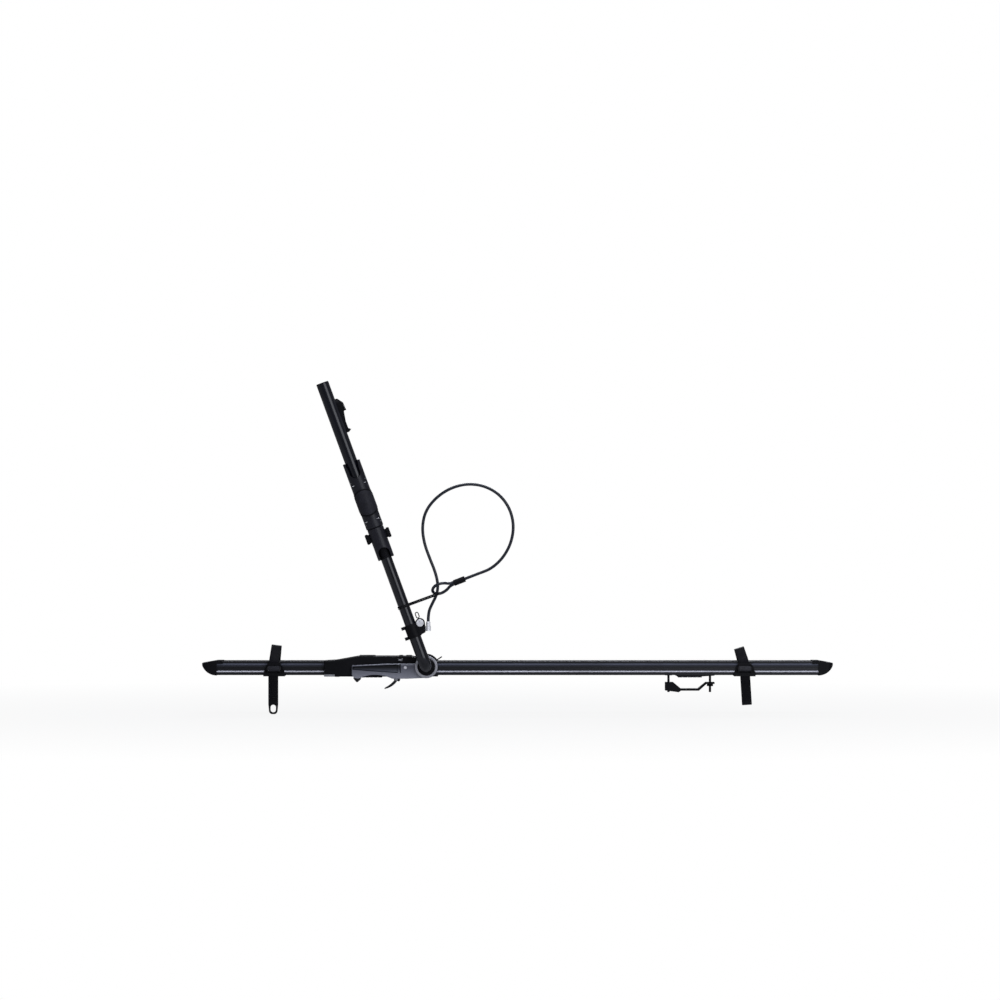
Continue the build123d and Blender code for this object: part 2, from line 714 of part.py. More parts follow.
with BuildPart() as lower_tube:
    with BuildSketch(arm_section(joint_height)):
        Circle(lower_radius)
        Circle(lower_radius - lower_wall, mode=Mode.SUBTRACT)
    extrude(amount=lower_top - joint_height)
lower_tube.part.label = "lower_tube"
export_step(lower_tube.part, "parts/lower_tube.step")

with BuildPart() as upper_tube:
    with BuildSketch(arm_section(upper_bottom)):
        Circle(upper_radius)
        Circle(upper_radius - upper_wall, mode=Mode.SUBTRACT)
    extrude(amount=upper_top - upper_bottom)
upper_tube.part.label = "upper_tube"
export_step(upper_tube.part, "parts/upper_tube.step")

with BuildPart() as tube_cap:
    with BuildSketch(arm_section(upper_top)):
        Circle(upper_radius)
    extrude(amount=cap_disc)
    fillet(tube_cap.edges().filter_by(GeomType.CIRCLE).sort_by(Axis.Z)[-1], ring_round)
    with BuildSketch(arm_section(upper_top)):
        Circle(upper_radius - upper_wall - screw_gap)
    extrude(amount=-cap_plug)
tube_cap.part.label = "tube_cap"
export_step(tube_cap.part, "parts/tube_cap.step")

# Lock collar: clamps the joint of both tubes and holds the lock and the pin of the cable
collar_below_joint = 16.5
collar_above_joint = 18.5
collar_bottom = joint_height - collar_below_joint
collar_top = joint_height + collar_above_joint
collar_radius = 17.5
collar_lug_reach = 25.5
collar_lug_height = 8.0
collar_lug_half_depth = 6.0
collar_screw_radius = 2.0
collar_screw_head_radius = 3.6
collar_screw_head = 2.6
lock_side = 24.0
lock_above_joint = 14.0
lock_height = joint_height + lock_above_joint
lock_radius = 9.3
lock_shell_radius = 12.0
lock_half_depth = 13.0
lock_proud = 1.2
lock_depth = 20.0
key_slot_length = 8.0
key_slot_width = 1.6
key_slot_depth = 2.5
cable_pin_x = 143.5
cable_pin_bottom_z = 119.0
cable_pin_top_z = 142.5
cable_pin_radius = 6.6
cable_pin_neck_radius = 5.4
cable_pin_stem_radius = 3.5
cable_pin_stem = 10.0
cable_pin_stem_z = 124.0
block_face_x = cable_pin_x - cable_pin_radius - slide_gap
block_low_x = 123.2
block_low_z = 108.0
block_slant_z = 115.9
block_shoulder_z = 129.0

lock_centre = arm_foot + arm_right * lock_side + arm_up * lock_height
lock_plane = Plane(origin=(lock_centre.X, 0, lock_centre.Z), x_dir=arm_right, z_dir=(0, -1, 0))
pin_plane = Plane(origin=(cable_pin_x, arm_y, cable_pin_bottom_z))
block_foot = arm_foot + arm_up * collar_bottom
block_head = arm_foot + arm_up * lock_height
screw_heights = (collar_bottom + collar_lug_height / 2, collar_top - collar_lug_height / 2)
screw_side = -(collar_radius + collar_lug_reach) / 2

with BuildPart() as lock_collar:
    with BuildSketch(arm_section(collar_bottom)):
        Circle(collar_radius)
    extrude(amount=collar_top - collar_bottom)
    with BuildSketch(arm_side):
        for screw_height in screw_heights:
            with Locations((-collar_lug_reach / 2, screw_height)):
                Rectangle(collar_lug_reach, collar_lug_height)
    extrude(amount=collar_lug_half_depth, both=True)
    with BuildSketch(arm_side):
        with Locations((lock_side, lock_height)):
            Circle(lock_shell_radius)
    extrude(amount=lock_half_depth, both=True)
    # block under the lock, which holds the pin of the cable by its stem
    with BuildSketch(Plane.XZ.offset(-arm_y)):
        with BuildLine():
            Polyline(
                (block_foot.X, block_foot.Z),
                (block_low_x, block_low_z),
                (block_face_x, block_slant_z),
                (block_face_x, block_shoulder_z),
                (lock_centre.X + lock_shell_radius, lock_centre.Z),
                (lock_centre.X, lock_centre.Z),
                (block_head.X, block_head.Z),
                close=True,
            )
        make_face()
    extrude(amount=lock_half_depth, both=True)
    with BuildSketch(Plane.YZ.offset(block_face_x + overrun)):
        with Locations((arm_y, cable_pin_stem_z)):
            Circle(cable_pin_stem_radius + screw_gap)
    extrude(amount=-cable_pin_stem - overrun - screw_gap, mode=Mode.SUBTRACT)
    with BuildSketch(arm_section(0)):
        Circle(elbow_radius + screw_gap / 2)
    extrude(amount=joint_height, mode=Mode.SUBTRACT)
    with BuildSketch(arm_section(joint_height)):
        Circle(lower_radius + screw_gap / 2)
    extrude(amount=collar_top, mode=Mode.SUBTRACT)
    with BuildSketch(lock_plane.offset(-arm_y + lock_half_depth + overrun)):
        Circle(lock_radius + running_fit)
    extrude(amount=-lock_depth - overrun, mode=Mode.SUBTRACT)
    with BuildSketch(arm_side):
        for screw_height in screw_heights:
            with Locations((screw_side, screw_height)):
                Circle(collar_screw_radius + screw_gap)
    extrude(amount=collar_lug_half_depth + overrun, both=True, mode=Mode.SUBTRACT)
lock_collar.part.label = "lock_collar"
export_step(lock_collar.part, "parts/lock_collar.step")

with BuildPart() as collar_screws:
    with BuildSketch(arm_side):
        for screw_height in screw_heights:
            with Locations((screw_side, screw_height)):
                Circle(collar_screw_radius)
    extrude(amount=collar_lug_half_depth, both=True)
    for face_side in (-1, 1):
        with BuildSketch(arm_side.offset(face_side * collar_lug_half_depth)):
            for screw_height in screw_heights:
                with Locations((screw_side, screw_height)):
                    RegularPolygon(collar_screw_head_radius, 6)
        extrude(amount=face_side * collar_screw_head)
collar_screws.part.label = "collar_screws"
export_step(collar_screws.part, "parts/collar_screws.step")

with BuildPart() as lock_barrel:
    with BuildSketch(lock_plane.offset(-arm_y + lock_half_depth + lock_proud)):
        Circle(lock_radius)
    extrude(amount=-lock_depth - lock_proud + running_fit)
    chamfer(lock_barrel.edges().filter_by(GeomType.CIRCLE).sort_by(Axis.Y)[0], lock_proud / 2)
    with BuildSketch(lock_plane.offset(-arm_y + lock_half_depth + lock_proud)):
        Rectangle(key_slot_width, key_slot_length)
    extrude(amount=-key_slot_depth, mode=Mode.SUBTRACT)
lock_barrel.part.label = "lock_barrel"
export_step(lock_barrel.part, "parts/lock_barrel.step")

with BuildPart() as cable_pin:
    with BuildSketch(pin_plane):
        Circle(cable_pin_radius)
    extrude(amount=(cable_pin_top_z - cable_pin_bottom_z) / 2)
    with BuildSketch(pin_plane):
        Circle(cable_pin_neck_radius)
    extrude(amount=cable_pin_top_z - cable_pin_bottom_z)
    chamfer(cable_pin.edges().filter_by(GeomType.CIRCLE).sort_by(Axis.Z)[-1], ring_round)
    with BuildSketch(Plane.YZ.offset(block_face_x - cable_pin_stem)):
        with Locations((arm_y, cable_pin_stem_z)):
            Circle(cable_pin_stem_radius)
    extrude(amount=cable_pin_x - block_face_x + cable_pin_stem)
cable_pin.part.label = "cable_pin"
export_step(cable_pin.part, "parts/cable_pin.step")

# Small link standing on the lock
link_wire = 2.4
link_length = 17.0
link_width = 10.0
with BuildPart() as lock_link:
    with BuildSketch(arm_side):
        with Locations(Location((lock_side, lock_height + lock_shell_radius + link_length / 2), 90)):
            SlotOverall(link_length, link_width)
            SlotOverall(link_length - 2 * link_wire, link_width - 2 * link_wire, mode=Mode.SUBTRACT)
    extrude(amount=link_wire / 2, both=True)
lock_link.part.label = "lock_link"
export_step(lock_link.part, "parts/lock_link.step")

# Adjuster: two shells clamped on the upper tube, a grip pad and a release sleeve below them
shell_radius = 22.3
shell_seam = 0.4
horn_cut_depth = 43.0
horn_cut_bottom = shell_top - horn_cut_depth
horn_cut_height = 18.0
horn_cut_half_width = 13.0
horn_cut_flare = 4.0
dash_side = 15.0
dash_length = 6.5
dash_width = 1.6
dash_depth = 1.0
lower_dash_rise = 19.5
upper_dash_drop = 60.0
dash_heights = (shell_bottom + lower_dash_rise, shell_top - upper_dash_drop)
lower_screw_rise = 11.5
middle_screw_rise = 66.5
upper_screw_drop = 51.0
shell_screw_heights = (shell_bottom + lower_screw_rise,
                       shell_bottom + middle_screw_rise,
                       shell_top - upper_screw_drop)
shell_screw_side = 19.2
shell_screw_radius = 1.4
pad_bottom = 412.0
pad_top = 468.0
pad_crown = 5.0
pad_skin = 1.3
dash_floor = math.sqrt(shell_radius ** 2 - dash_side ** 2) - dash_depth


def horn_cut():
    """U shaped opening between the horns at the top of the shells, seen from the side of the arm."""
    with BuildSketch(mode=Mode.PRIVATE) as cut:
        with BuildLine():
            Line((-horn_cut_half_width - horn_cut_flare, shell_top + overrun),
                 (-horn_cut_half_width, horn_cut_bottom + horn_cut_height))
            ThreePointArc((-horn_cut_half_width, horn_cut_bottom + horn_cut_height),
                          (0, horn_cut_bottom),
                          (horn_cut_half_width, horn_cut_bottom + horn_cut_height))
            Line((horn_cut_half_width, horn_cut_bottom + horn_cut_height),
                 (horn_cut_half_width + horn_cut_flare, shell_top + overrun))
            Line((horn_cut_half_width + horn_cut_flare, shell_top + overrun),
                 (-horn_cut_half_width - horn_cut_flare, shell_top + overrun))
        make_face()
    return cut.sketch


for shell_name, shell_side in (("adjuster_front_shell", 1), ("adjuster_rear_shell", -1)):
    with BuildPart() as adjuster_shell:
        with BuildSketch(arm_section(shell_bottom)):
            Circle(shell_radius)
        extrude(amount=shell_top - shell_bottom)
        chamfer(adjuster_shell.edges().filter_by(GeomType.CIRCLE), ring_round)
        with BuildSketch(arm_side):
            add(horn_cut())
        extrude(amount=shell_radius + overrun, both=True, mode=Mode.SUBTRACT)
        with BuildSketch(arm_side.offset(shell_side * dash_floor)):
            for dash_height in dash_heights:
                with Locations((-dash_side, dash_height), (dash_side, dash_height)):
                    SlotOverall(dash_length, dash_width)
        extrude(amount=shell_side * shell_radius, mode=Mode.SUBTRACT)
        with BuildSketch(arm_section(shell_bottom - overrun)):
            Circle(upper_radius + screw_gap / 2)
        extrude(amount=shell_top - shell_bottom + 2 * overrun, mode=Mode.SUBTRACT)
        with BuildSketch(arm_side.offset(shell_side * shell_seam / 2)):
            with Locations((0, (shell_bottom + shell_top) / 2)):
                Rectangle(3 * shell_radius, shell_top)
        extrude(amount=-shell_side * 2 * shell_radius, mode=Mode.SUBTRACT)
        with BuildSketch(arm_side):
            for screw_height in shell_screw_heights:
                with Locations((-shell_screw_side, screw_height), (shell_screw_side, screw_height)):
                    Circle(shell_screw_radius + screw_gap)
        extrude(amount=shell_radius, both=True, mode=Mode.SUBTRACT)
    adjuster_shell.part.label = shell_name
    export_step(adjuster_shell.part, f"parts/{shell_name}.step")

shell_screw_depth = math.sqrt(shell_radius ** 2 - (shell_screw_side + shell_screw_radius) ** 2)
with BuildPart() as adjuster_screws:
    with BuildSketch(arm_side):
        for screw_height in shell_screw_heights:
            with Locations((-shell_screw_side, screw_height), (shell_screw_side, screw_height)):
                Circle(shell_screw_radius)
    extrude(amount=shell_screw_depth, both=True)
adjuster_screws.part.label = "adjuster_screws"
export_step(adjuster_screws.part, "parts/adjuster_screws.step")

with BuildPart() as grip_pad:
    with BuildSketch(arm_section(pad_bottom - pad_crown)):
        Circle(shell_radius + pad_skin)
        Circle(shell_radius + screw_gap / 2, mode=Mode.SUBTRACT)
        with Locations((0, shell_radius)):
            Rectangle(3 * shell_radius, 2 * shell_radius, mode=Mode.SUBTRACT)
    extrude(amount=pad_top - pad_bottom + 2 * pad_crown)
    with BuildSketch(arm_side):
        with BuildLine():
            lower_curve = ThreePointArc(
                (-shell_radius - overrun, pad_bottom + pad_crown),
                (0, pad_bottom - pad_crown),
                (shell_radius + overrun, pad_bottom + pad_crown),
            )
            upper_curve = ThreePointArc(
                (shell_radius + overrun, pad_top - pad_crown),
                (0, pad_top + pad_crown),
                (-shell_radius - overrun, pad_top - pad_crown),
            )
            Line(lower_curve @ 1, upper_curve @ 0)
            Line(upper_curve @ 1, lower_curve @ 0)
        make_face()
    extrude(amount=2 * shell_radius, both=True, mode=Mode.INTERSECT)
grip_pad.part.label = "grip_pad"
export_step(grip_pad.part, "parts/grip_pad.step")

# Release sleeve and the two paddles squeezed to move the adjuster
sleeve_bottom = 291.0
sleeve_top = 372.0
sleeve_radius = 21.0
sleeve_arch_top = 320.0
sleeve_arch_half_width = 14.5
sleeve_gap = 0.35
paddle_bottom = 338.0
paddle_top = 364.0
paddle_reach = 32.0
paddle_inner = 23.8
paddle_half_depth = 8.0
paddle_stem_height = 22.0
paddle_corner = 3.0
paddle_stem_half_depth = 5.0
paddle_stem_inner = 19.6
paddle_pocket = 16.6
with BuildPart() as release_sleeve:
    with BuildSketch(arm_section(sleeve_bottom)):
        Circle(sleeve_radius)
        Circle(lower_radius + sleeve_gap, mode=Mode.SUBTRACT)
    extrude(amount=sleeve_top - sleeve_bottom)
    chamfer(release_sleeve.edges().filter_by(GeomType.CIRCLE).group_by(SortBy.RADIUS)[-1], ring_round)
    with BuildSketch(arm_side):
        with BuildLine():
            arch = ThreePointArc(
                (-sleeve_arch_half_width, sleeve_arch_top - sleeve_arch_half_width),
                (0, sleeve_arch_top),
                (sleeve_arch_half_width, sleeve_arch_top - sleeve_arch_half_width),
            )
            Polyline(
                arch @ 1,
                (sleeve_arch_half_width, sleeve_bottom - overrun),
                (-sleeve_arch_half_width, sleeve_bottom - overrun),
                arch @ 0,
            )
        make_face()
    extrude(amount=sleeve_radius + overrun, both=True, mode=Mode.SUBTRACT)
    with BuildSketch(arm_side):
        for paddle_side in (-1, 1):
            with Locations((paddle_side * (paddle_pocket + paddle_reach) / 2, (paddle_bottom + paddle_top) / 2)):
                Rectangle(paddle_reach - paddle_pocket, paddle_stem_height + 2 * slide_gap)
    extrude(amount=paddle_stem_half_depth + slide_gap, both=True, mode=Mode.SUBTRACT)
release_sleeve.part.label = "release_sleeve"
export_step(release_sleeve.part, "parts/release_sleeve.step")

for paddle_name, paddle_side in (("paddle_left", -1), ("paddle_right", 1)):
    with BuildPart() as paddle:
        with BuildSketch(arm_side):
            with Locations((paddle_side * (paddle_inner + paddle_reach) / 2, (paddle_bottom + paddle_top) / 2)):
                RectangleRounded(paddle_reach - paddle_inner, paddle_top - paddle_bottom, paddle_corner)
        extrude(amount=paddle_half_depth, both=True)
        with BuildSketch(arm_side):
            with Locations((paddle_side * (paddle_stem_inner + paddle_inner + overrun) / 2,
                            (paddle_bottom + paddle_top) / 2)):
                Rectangle(paddle_inner + overrun - paddle_stem_inner, paddle_stem_height)
        extrude(amount=paddle_stem_half_depth, both=True)
    paddle.part.label = paddle_name
    export_step(paddle.part, f"parts/{paddle_name}.step")

# Wheel hook: cradles the upper tube and reaches over the tyre
hook_left = -14.0
hook_right = 31.0
hook_height = 89.5
hook_crown = 9.5
hook_tip_height = 57.0
hook_crown_top = hook_foot + hook_height
hook_crown_bottom = hook_crown_top - hook_crown
hook_tip = hook_foot + hook_tip_height
hook_corner = 6.0
hook_plate_inner_y = -80.0
hook_plate_outer_y = -97.0
hook_reach_y = 25.0
hook_tip_thickness = 9.0
hook_round = 9.0
hook_waist = 22.3
hook_shoulder = 8.0
hook_foot_lip = 28.4
hook_foot_lip_height = 5.0
with BuildPart() as wheel_hook:
    with BuildSketch(arm_front.offset(hook_left)):
        with BuildLine():
            FilletPolyline(
                (hook_plate_outer_y - arm_y, hook_foot),
                (hook_plate_outer_y - arm_y, hook_crown_top),
                (hook_reach_y - arm_y, hook_crown_top),
                (hook_reach_y - arm_y, hook_tip),
                (hook_reach_y - arm_y - hook_tip_thickness, hook_tip),
                (hook_reach_y - arm_y - hook_tip_thickness, hook_crown_bottom),
                (hook_plate_inner_y - arm_y, hook_crown_bottom),
                (hook_plate_inner_y - arm_y, hook_foot),
                radius=(ring_round, hook_round + hook_tip_thickness / 2, hook_tip_thickness / 3,
                        hook_tip_thickness / 3, hook_round / 2, hook_round, ring_round, ring_round),
                close=True,
            )
        make_face()
    extrude(amount=hook_right - hook_left)
    with BuildSketch(arm_side) as hook_side:
        with BuildLine():
            Polyline(
                (hook_left, hook_foot),
                (hook_left, hook_crown_top),
                (hook_waist - ring_round, hook_crown_top),
                (hook_right - ring_round, hook_crown_top - 1.5 * hook_shoulder),
                (hook_right, hook_tip),
                (hook_right - hook_tip_thickness / 2, hook_tip - hook_shoulder / 2),
                (hook_waist, (hook_foot + hook_tip) / 2),
                (hook_waist, hook_foot + 2 * hook_foot_lip_height),
                (hook_foot_lip, hook_foot + hook_foot_lip_height),
                (hook_waist - ring_round, hook_foot),
                close=True,
            )
        make_face()
        fillet(hook_side.vertices().group_by(Axis.Y)[-1], hook_corner)
    extrude(amount=hook_reach_y - arm_y + overrun, both=True, mode=Mode.INTERSECT)
    with BuildSketch(arm_section(hook_foot - overrun)):
        Circle(upper_radius + screw_gap / 2)
    extrude(amount=hook_crown_top - hook_foot + 2 * overrun, mode=Mode.SUBTRACT)
wheel_hook.part.label = "wheel_hook"
export_step(wheel_hook.part, "parts/wheel_hook.step")

hook_pad_thickness = 3.0
with BuildPart() as hook_pad:
    with BuildSketch(arm_section(hook_crown_bottom)):
        with Locations(((hook_left + hook_right) / 2, (hook_plate_inner_y + hook_reach_y) / 2 - arm_y)):
            RectangleRounded(hook_right - hook_left - 2 * hook_shoulder,
                             hook_reach_y - hook_plate_inner_y - 2 * hook_tip_thickness - 2 * hook_round,
                             hook_pad_thickness)
    extrude(amount=-hook_pad_thickness)
hook_pad.part.label = "hook_pad"
export_step(hook_pad.part, "parts/hook_pad.step")

hook_screw_radius = 2.5
hook_screw_head_radius = 5.0
hook_screw_head = 2.6
lower_hook_screw = 18.0
upper_hook_screw = 62.0
hook_screw_heights = (hook_foot + lower_hook_screw, hook_foot + upper_hook_screw)
with BuildPart() as hook_screws:
    with BuildSketch(arm_side.offset(arm_y - hook_plate_inner_y)):
        for screw_height in hook_screw_heights:
            with Locations((0, screw_height)):
                Circle(hook_screw_head_radius)
    extrude(amount=-hook_screw_head)
hook_screws.part.label = "hook_screws"
export_step(hook_screws.part, "parts/hook_screws.step")

# Wheel straps: each has a saddle that slides on the tray, a ladder strap over the rim and a buckle
saddle_half_top = 20.0
saddle_half_bottom = 27.0
saddle_top_z = 30.0
saddle_block_top_z = 12.7
saddle_bottom_z = 3.3
saddle_cheek = 4.7
saddle_block_reach = 9.2
saddle_key_half_length = 15.0
saddle_key_height = 3.8
strap_width = 25.0
strap_thickness = 3.5
strap_y = 49.75
strap_crest_half_width = 15.0
strap_shoulder_z = 44.0
strap_crest_radius = 11.0
strap_shoulder_radius = 14.0
strap_slot_play = 2.0
strap_slot_thickness_play = 0.3
strap_foot_z = 4.5
strap_pivot_z = 20.0
strap_end_radius = 8.0
rib_pitch = 4.8
rib_height = 1.7
rib_length = 19.0
rib_stand = 0.9
rib_first_z = -3.0
hole_length = 19.0
hole_width = 13.5
hole_above_end = 12.5
anchor_pin_radius = 1.0
anchor_pin_z = 8.5
buckle_half_width = 17.4
buckle_wall = 3.0
buckle_bottom_z = 13.0
buckle_top_z = 30.5
buckle_base = 2.7
buckle_depth = 13.0
band_top_z = 39.0
band_half_width = 17.0
band_thickness = 2.2
latch_pin_radius = 1.5
latch_pin_y = 55.6
latch_pin_z = 18.4
latch_knuckle_radius = 3.1
latch_top_z = 29.6
latch_inner_y = 53.2
latch_grip_depth = 1.0

front_strap_from_end = 145.0
rear_strap_from_end = 186.0
front_strap_lean = 0.6
rear_strap_lean = -5.0
front_strap_tail_z = -92.0
rear_strap_tail_z = -69.0
front_strap_crest_z = 79.5
rear_strap_crest_z = 74.0
rib_count = 12

saddle_outer_y = tray_half_width + slide_gap + saddle_cheek
strap_stations = (
    {"name": "front", "x": tray_front_x + front_strap_from_end, "lean": front_strap_lean,
     "tail_z": front_strap_tail_z, "crest_z": front_strap_crest_z, "hole": True},
    {"name": "rear", "x": tray_rear_x - rear_strap_from_end, "lean": rear_strap_lean,
     "tail_z": rear_strap_tail_z, "crest_z": rear_strap_crest_z, "hole": False},
)
for station in strap_stations:
    strap_x = station["x"]
    lean = math.radians(station["lean"])
    strap_plane = Plane(
        origin=(strap_x, 0, strap_pivot_z),
        x_dir=(0, 1, 0),
        z_dir=(math.cos(lean), 0, -math.sin(lean)),
    )
    face_plane = Plane(
        origin=(strap_x, -strap_y - strap_thickness / 2, strap_pivot_z),
        x_dir=(math.cos(lean), 0, -math.sin(lean)),
        z_dir=(0, -1, 0),
    )

    with BuildPart() as saddle:
        for side in (-1, 1):
            with BuildSketch(Plane.XZ.offset(side * (tray_half_width + slide_gap))):
                with BuildLine():
                    Polyline(
                        (strap_x - saddle_half_bottom, saddle_bottom_z),
                        (strap_x - saddle_half_bottom, saddle_block_top_z),
                        (strap_x - saddle_half_top, saddle_top_z),
                        (strap_x + saddle_half_top, saddle_top_z),
                        (strap_x + saddle_half_bottom, saddle_block_top_z),
                        (strap_x + saddle_half_bottom, saddle_bottom_z),
                        close=True,
                    )
                make_face()
            extrude(amount=side * saddle_cheek)
            with BuildSketch(Plane.XZ.offset(side * saddle_outer_y)):
                with Locations((strap_x, (saddle_bottom_z + saddle_block_top_z) / 2)):
                    Rectangle(2 * saddle_half_bottom, saddle_block_top_z - saddle_bottom_z)
            extrude(amount=side * saddle_block_reach)
        with BuildSketch(Plane.XY.offset(saddle_bottom_z)):
            with Locations((strap_x, 0)):
                Rectangle(2 * saddle_half_bottom, 2 * saddle_outer_y)
        extrude(amount=tray_bottom_z - slide_gap - saddle_bottom_z)
        block_edges = saddle.edges().filter_by(Axis.Z)
        fillet(block_edges.group_by(Axis.Y)[0] + block_edges.group_by(Axis.Y)[-1], 2 * slide_gap)
        # key in the slot of the tray
        with BuildSketch(Plane.XY.offset(saddle_bottom_z)):
            with Locations((strap_x, 0)):
                Rectangle(2 * saddle_key_half_length, 2 * (slot_half_width - slide_gap))
        extrude(amount=slot_lip_z + slide_gap - saddle_bottom_z)
        with BuildSketch(Plane.XY.offset(slot_lip_z + slide_gap)):
            with Locations((strap_x, 0)):
                Rectangle(2 * saddle_key_half_length, 2 * (slot_room_half_width - slide_gap))
        extrude(amount=saddle_key_height)
        # slots for the strap through both blocks
        with BuildSketch(Plane.XY.offset(saddle_bottom_z - overrun)):
            with Locations((strap_x, strap_y), (strap_x, -strap_y)):
                Rectangle(strap_width + 2 * strap_slot_play, strap_thickness + 2 * strap_slot_thickness_play)
        extrude(amount=saddle_block_top_z - saddle_bottom_z + 2 * overrun, mode=Mode.SUBTRACT)
        with BuildSketch(Plane.YZ.offset(strap_x)):
            with Locations((strap_y, anchor_pin_z)):
                Circle(anchor_pin_radius + screw_gap)
        extrude(amount=saddle_half_bottom + overrun, both=True, mode=Mode.SUBTRACT)
    saddle.part.label = station["name"] + "_strap_saddle"
    export_step(saddle.part, f"parts/{saddle.part.label}.step")

    with BuildPart() as strap:
        with BuildSketch(strap_plane):
            with BuildLine():
                FilletPolyline(
                    (strap_y, strap_foot_z - strap_pivot_z),
                    (strap_y, strap_shoulder_z - strap_pivot_z),
                    (strap_crest_half_width, station["crest_z"] - strap_pivot_z),
                    (-strap_crest_half_width, station["crest_z"] - strap_pivot_z),
                    (-strap_y, strap_shoulder_z - strap_pivot_z),
                    (-strap_y, station["tail_z"] - strap_pivot_z),
                    radius=(strap_shoulder_radius, strap_crest_radius, strap_crest_radius, strap_shoulder_radius),
                )
            trace(line_width=strap_thickness)
        extrude(amount=strap_width / 2, both=True)
        end_edges = strap.edges().filter_by(Axis.Y).sort_by(Axis.Z)[:2]
        fillet(end_edges, strap_end_radius if station["hole"] else rib_height)
        with BuildSketch(face_plane):
            for rib in range(rib_count):
                with Locations((0, rib_first_z - rib * rib_pitch - strap_pivot_z)):
                    Rectangle(rib_length, rib_height)
        extrude(amount=rib_stand)
        if station["hole"]:
            with BuildSketch(face_plane):
                with Locations(Location((0, station["tail_z"] + hole_above_end + rib_height - strap_pivot_z), 90)):
                    SlotOverall(hole_length, hole_width)
            extrude(amount=strap_thickness, both=True, mode=Mode.SUBTRACT)
        with BuildSketch(Plane.YZ.offset(strap_x)):
            with Locations((strap_y, anchor_pin_z)):
                Circle(anchor_pin_radius + screw_gap)
        extrude(amount=strap_width, both=True, mode=Mode.SUBTRACT)
    strap.part.label = station["name"] + "_ladder_strap"
    export_step(strap.part, f"parts/{strap.part.label}.step")

    with BuildPart() as buckle:
        with BuildSketch(Plane.XZ.offset(saddle_outer_y)):
            with Locations((strap_x, (buckle_bottom_z + buckle_top_z) / 2)):
                Rectangle(2 * buckle_half_width, buckle_top_z - buckle_bottom_z)
            with Locations((strap_x, (buckle_bottom_z + band_top_z) / 2)):
                Rectangle(2 * band_half_width, band_top_z - buckle_bottom_z)
        extrude(amount=buckle_base)
        for side in (-1, 1):
            with BuildSketch(Plane.YZ.offset(strap_x + side * (buckle_half_width - buckle_wall / 2))):
                with BuildLine():
                    Polyline(
                        (-saddle_outer_y, buckle_bottom_z),
                        (-saddle_outer_y, buckle_top_z),
                        (-saddle_outer_y - buckle_depth / 2, buckle_top_z),
                        (-saddle_outer_y - buckle_depth, buckle_bottom_z + 2 * latch_knuckle_radius),
                        (-saddle_outer_y - buckle_depth, buckle_bottom_z),
                        close=True,
                    )
                make_face()
                with Locations((-latch_pin_y, latch_pin_z)):
                    Circle(latch_pin_radius + screw_gap, mode=Mode.SUBTRACT)
            extrude(amount=buckle_wall / 2, both=True)
        # band that keeps the strap against the buckle above the latch
        with BuildSketch(Plane.XY.offset(buckle_top_z + running_fit)):
            with Locations((strap_x, -strap_y)):
                Rectangle(2 * band_half_width, 2 * (strap_y - saddle_outer_y))
                Rectangle(strap_width + 2 * strap_slot_play, strap_thickness + 2 * strap_slot_thickness_play,
                          mode=Mode.SUBTRACT)
        extrude(amount=strap_shoulder_z - strap_shoulder_radius / 2 - buckle_top_z)
    buckle.part.label = station["name"] + "_buckle"
    export_step(buckle.part, f"parts/{buckle.part.label}.step")

    with BuildPart() as pins:
        with BuildSketch(Plane.YZ.offset(strap_x)):
            with Locations((strap_y, anchor_pin_z)):
                Circle(anchor_pin_radius)
        extrude(amount=saddle_half_bottom, both=True)
        with BuildSketch(Plane.YZ.offset(strap_x)):
            with Locations((-latch_pin_y, latch_pin_z)):
                Circle(latch_pin_radius)
        extrude(amount=buckle_half_width, both=True)
    pins.part.label = station["name"] + "_strap_pins"
    export_step(pins.part, f"parts/{pins.part.label}.step")

    with BuildPart() as latch:
        with BuildSketch(Plane.YZ.offset(strap_x)):
            with BuildLine():
                Polyline(
                    (-latch_inner_y, latch_pin_z),
                    (-latch_inner_y, latch_top_z),
                    (-latch_inner_y - latch_knuckle_radius, latch_top_z),
                    (-latch_pin_y - latch_knuckle_radius, latch_pin_z + latch_knuckle_radius),
                    (-latch_pin_y - latch_knuckle_radius, latch_pin_z),
                    close=True,
                )
            make_face()
            with Locations((-latch_pin_y, latch_pin_z)):
                Circle(latch_knuckle_radius)
                Circle(latch_pin_radius + running_fit, mode=Mode.SUBTRACT)
        extrude(amount=buckle_half_width - buckle_wall - slide_gap, both=True)
    latch.part.label = station["name"] + "_buckle_lever"
    export_step(latch.part, f"parts/{latch.part.label}.step")

# Rear foot: a plate and pad above the rear crossbar, two studs, and a bracket drawn up by two knobs
rear_bar_x = 803.0
rear_plate_front_x = 767.0
rear_plate_rear_x = 865.0
rear_plate_half_width = 38.0
rear_plate_edge = 1.5
rear_pad_length = 60.0
small_plate_length = 18.0
small_plate_half_width = 14.0
front_stud_x = 750.0
rear_stud_x = 855.0
stud_places = (front_stud_x, rear_stud_x)
stud_radius = 3.0
stud_bottom_z = -38.0
bracket_top_z = -12.7
bracket_flange = 4.3
bracket_front_x = 741.3
bracket_rear_x = 866.0
bracket_front_shoulder_x = 761.5
bracket_rear_shoulder_x = 844.0
bracket_seat_z = -28.8
bracket_seat_front_x = 780.8
bracket_seat_rear_x = 824.0
bracket_foot_z = -38.0
bracket_front_foot_z = -33.4
bracket_thickness = 5.2
bracket_half_width = 22.0
knob_radius = 8.0
knob_height = 6.0
knob_pocket = 1.0
knob_flute_radius = 1.6
knob_flutes = 8
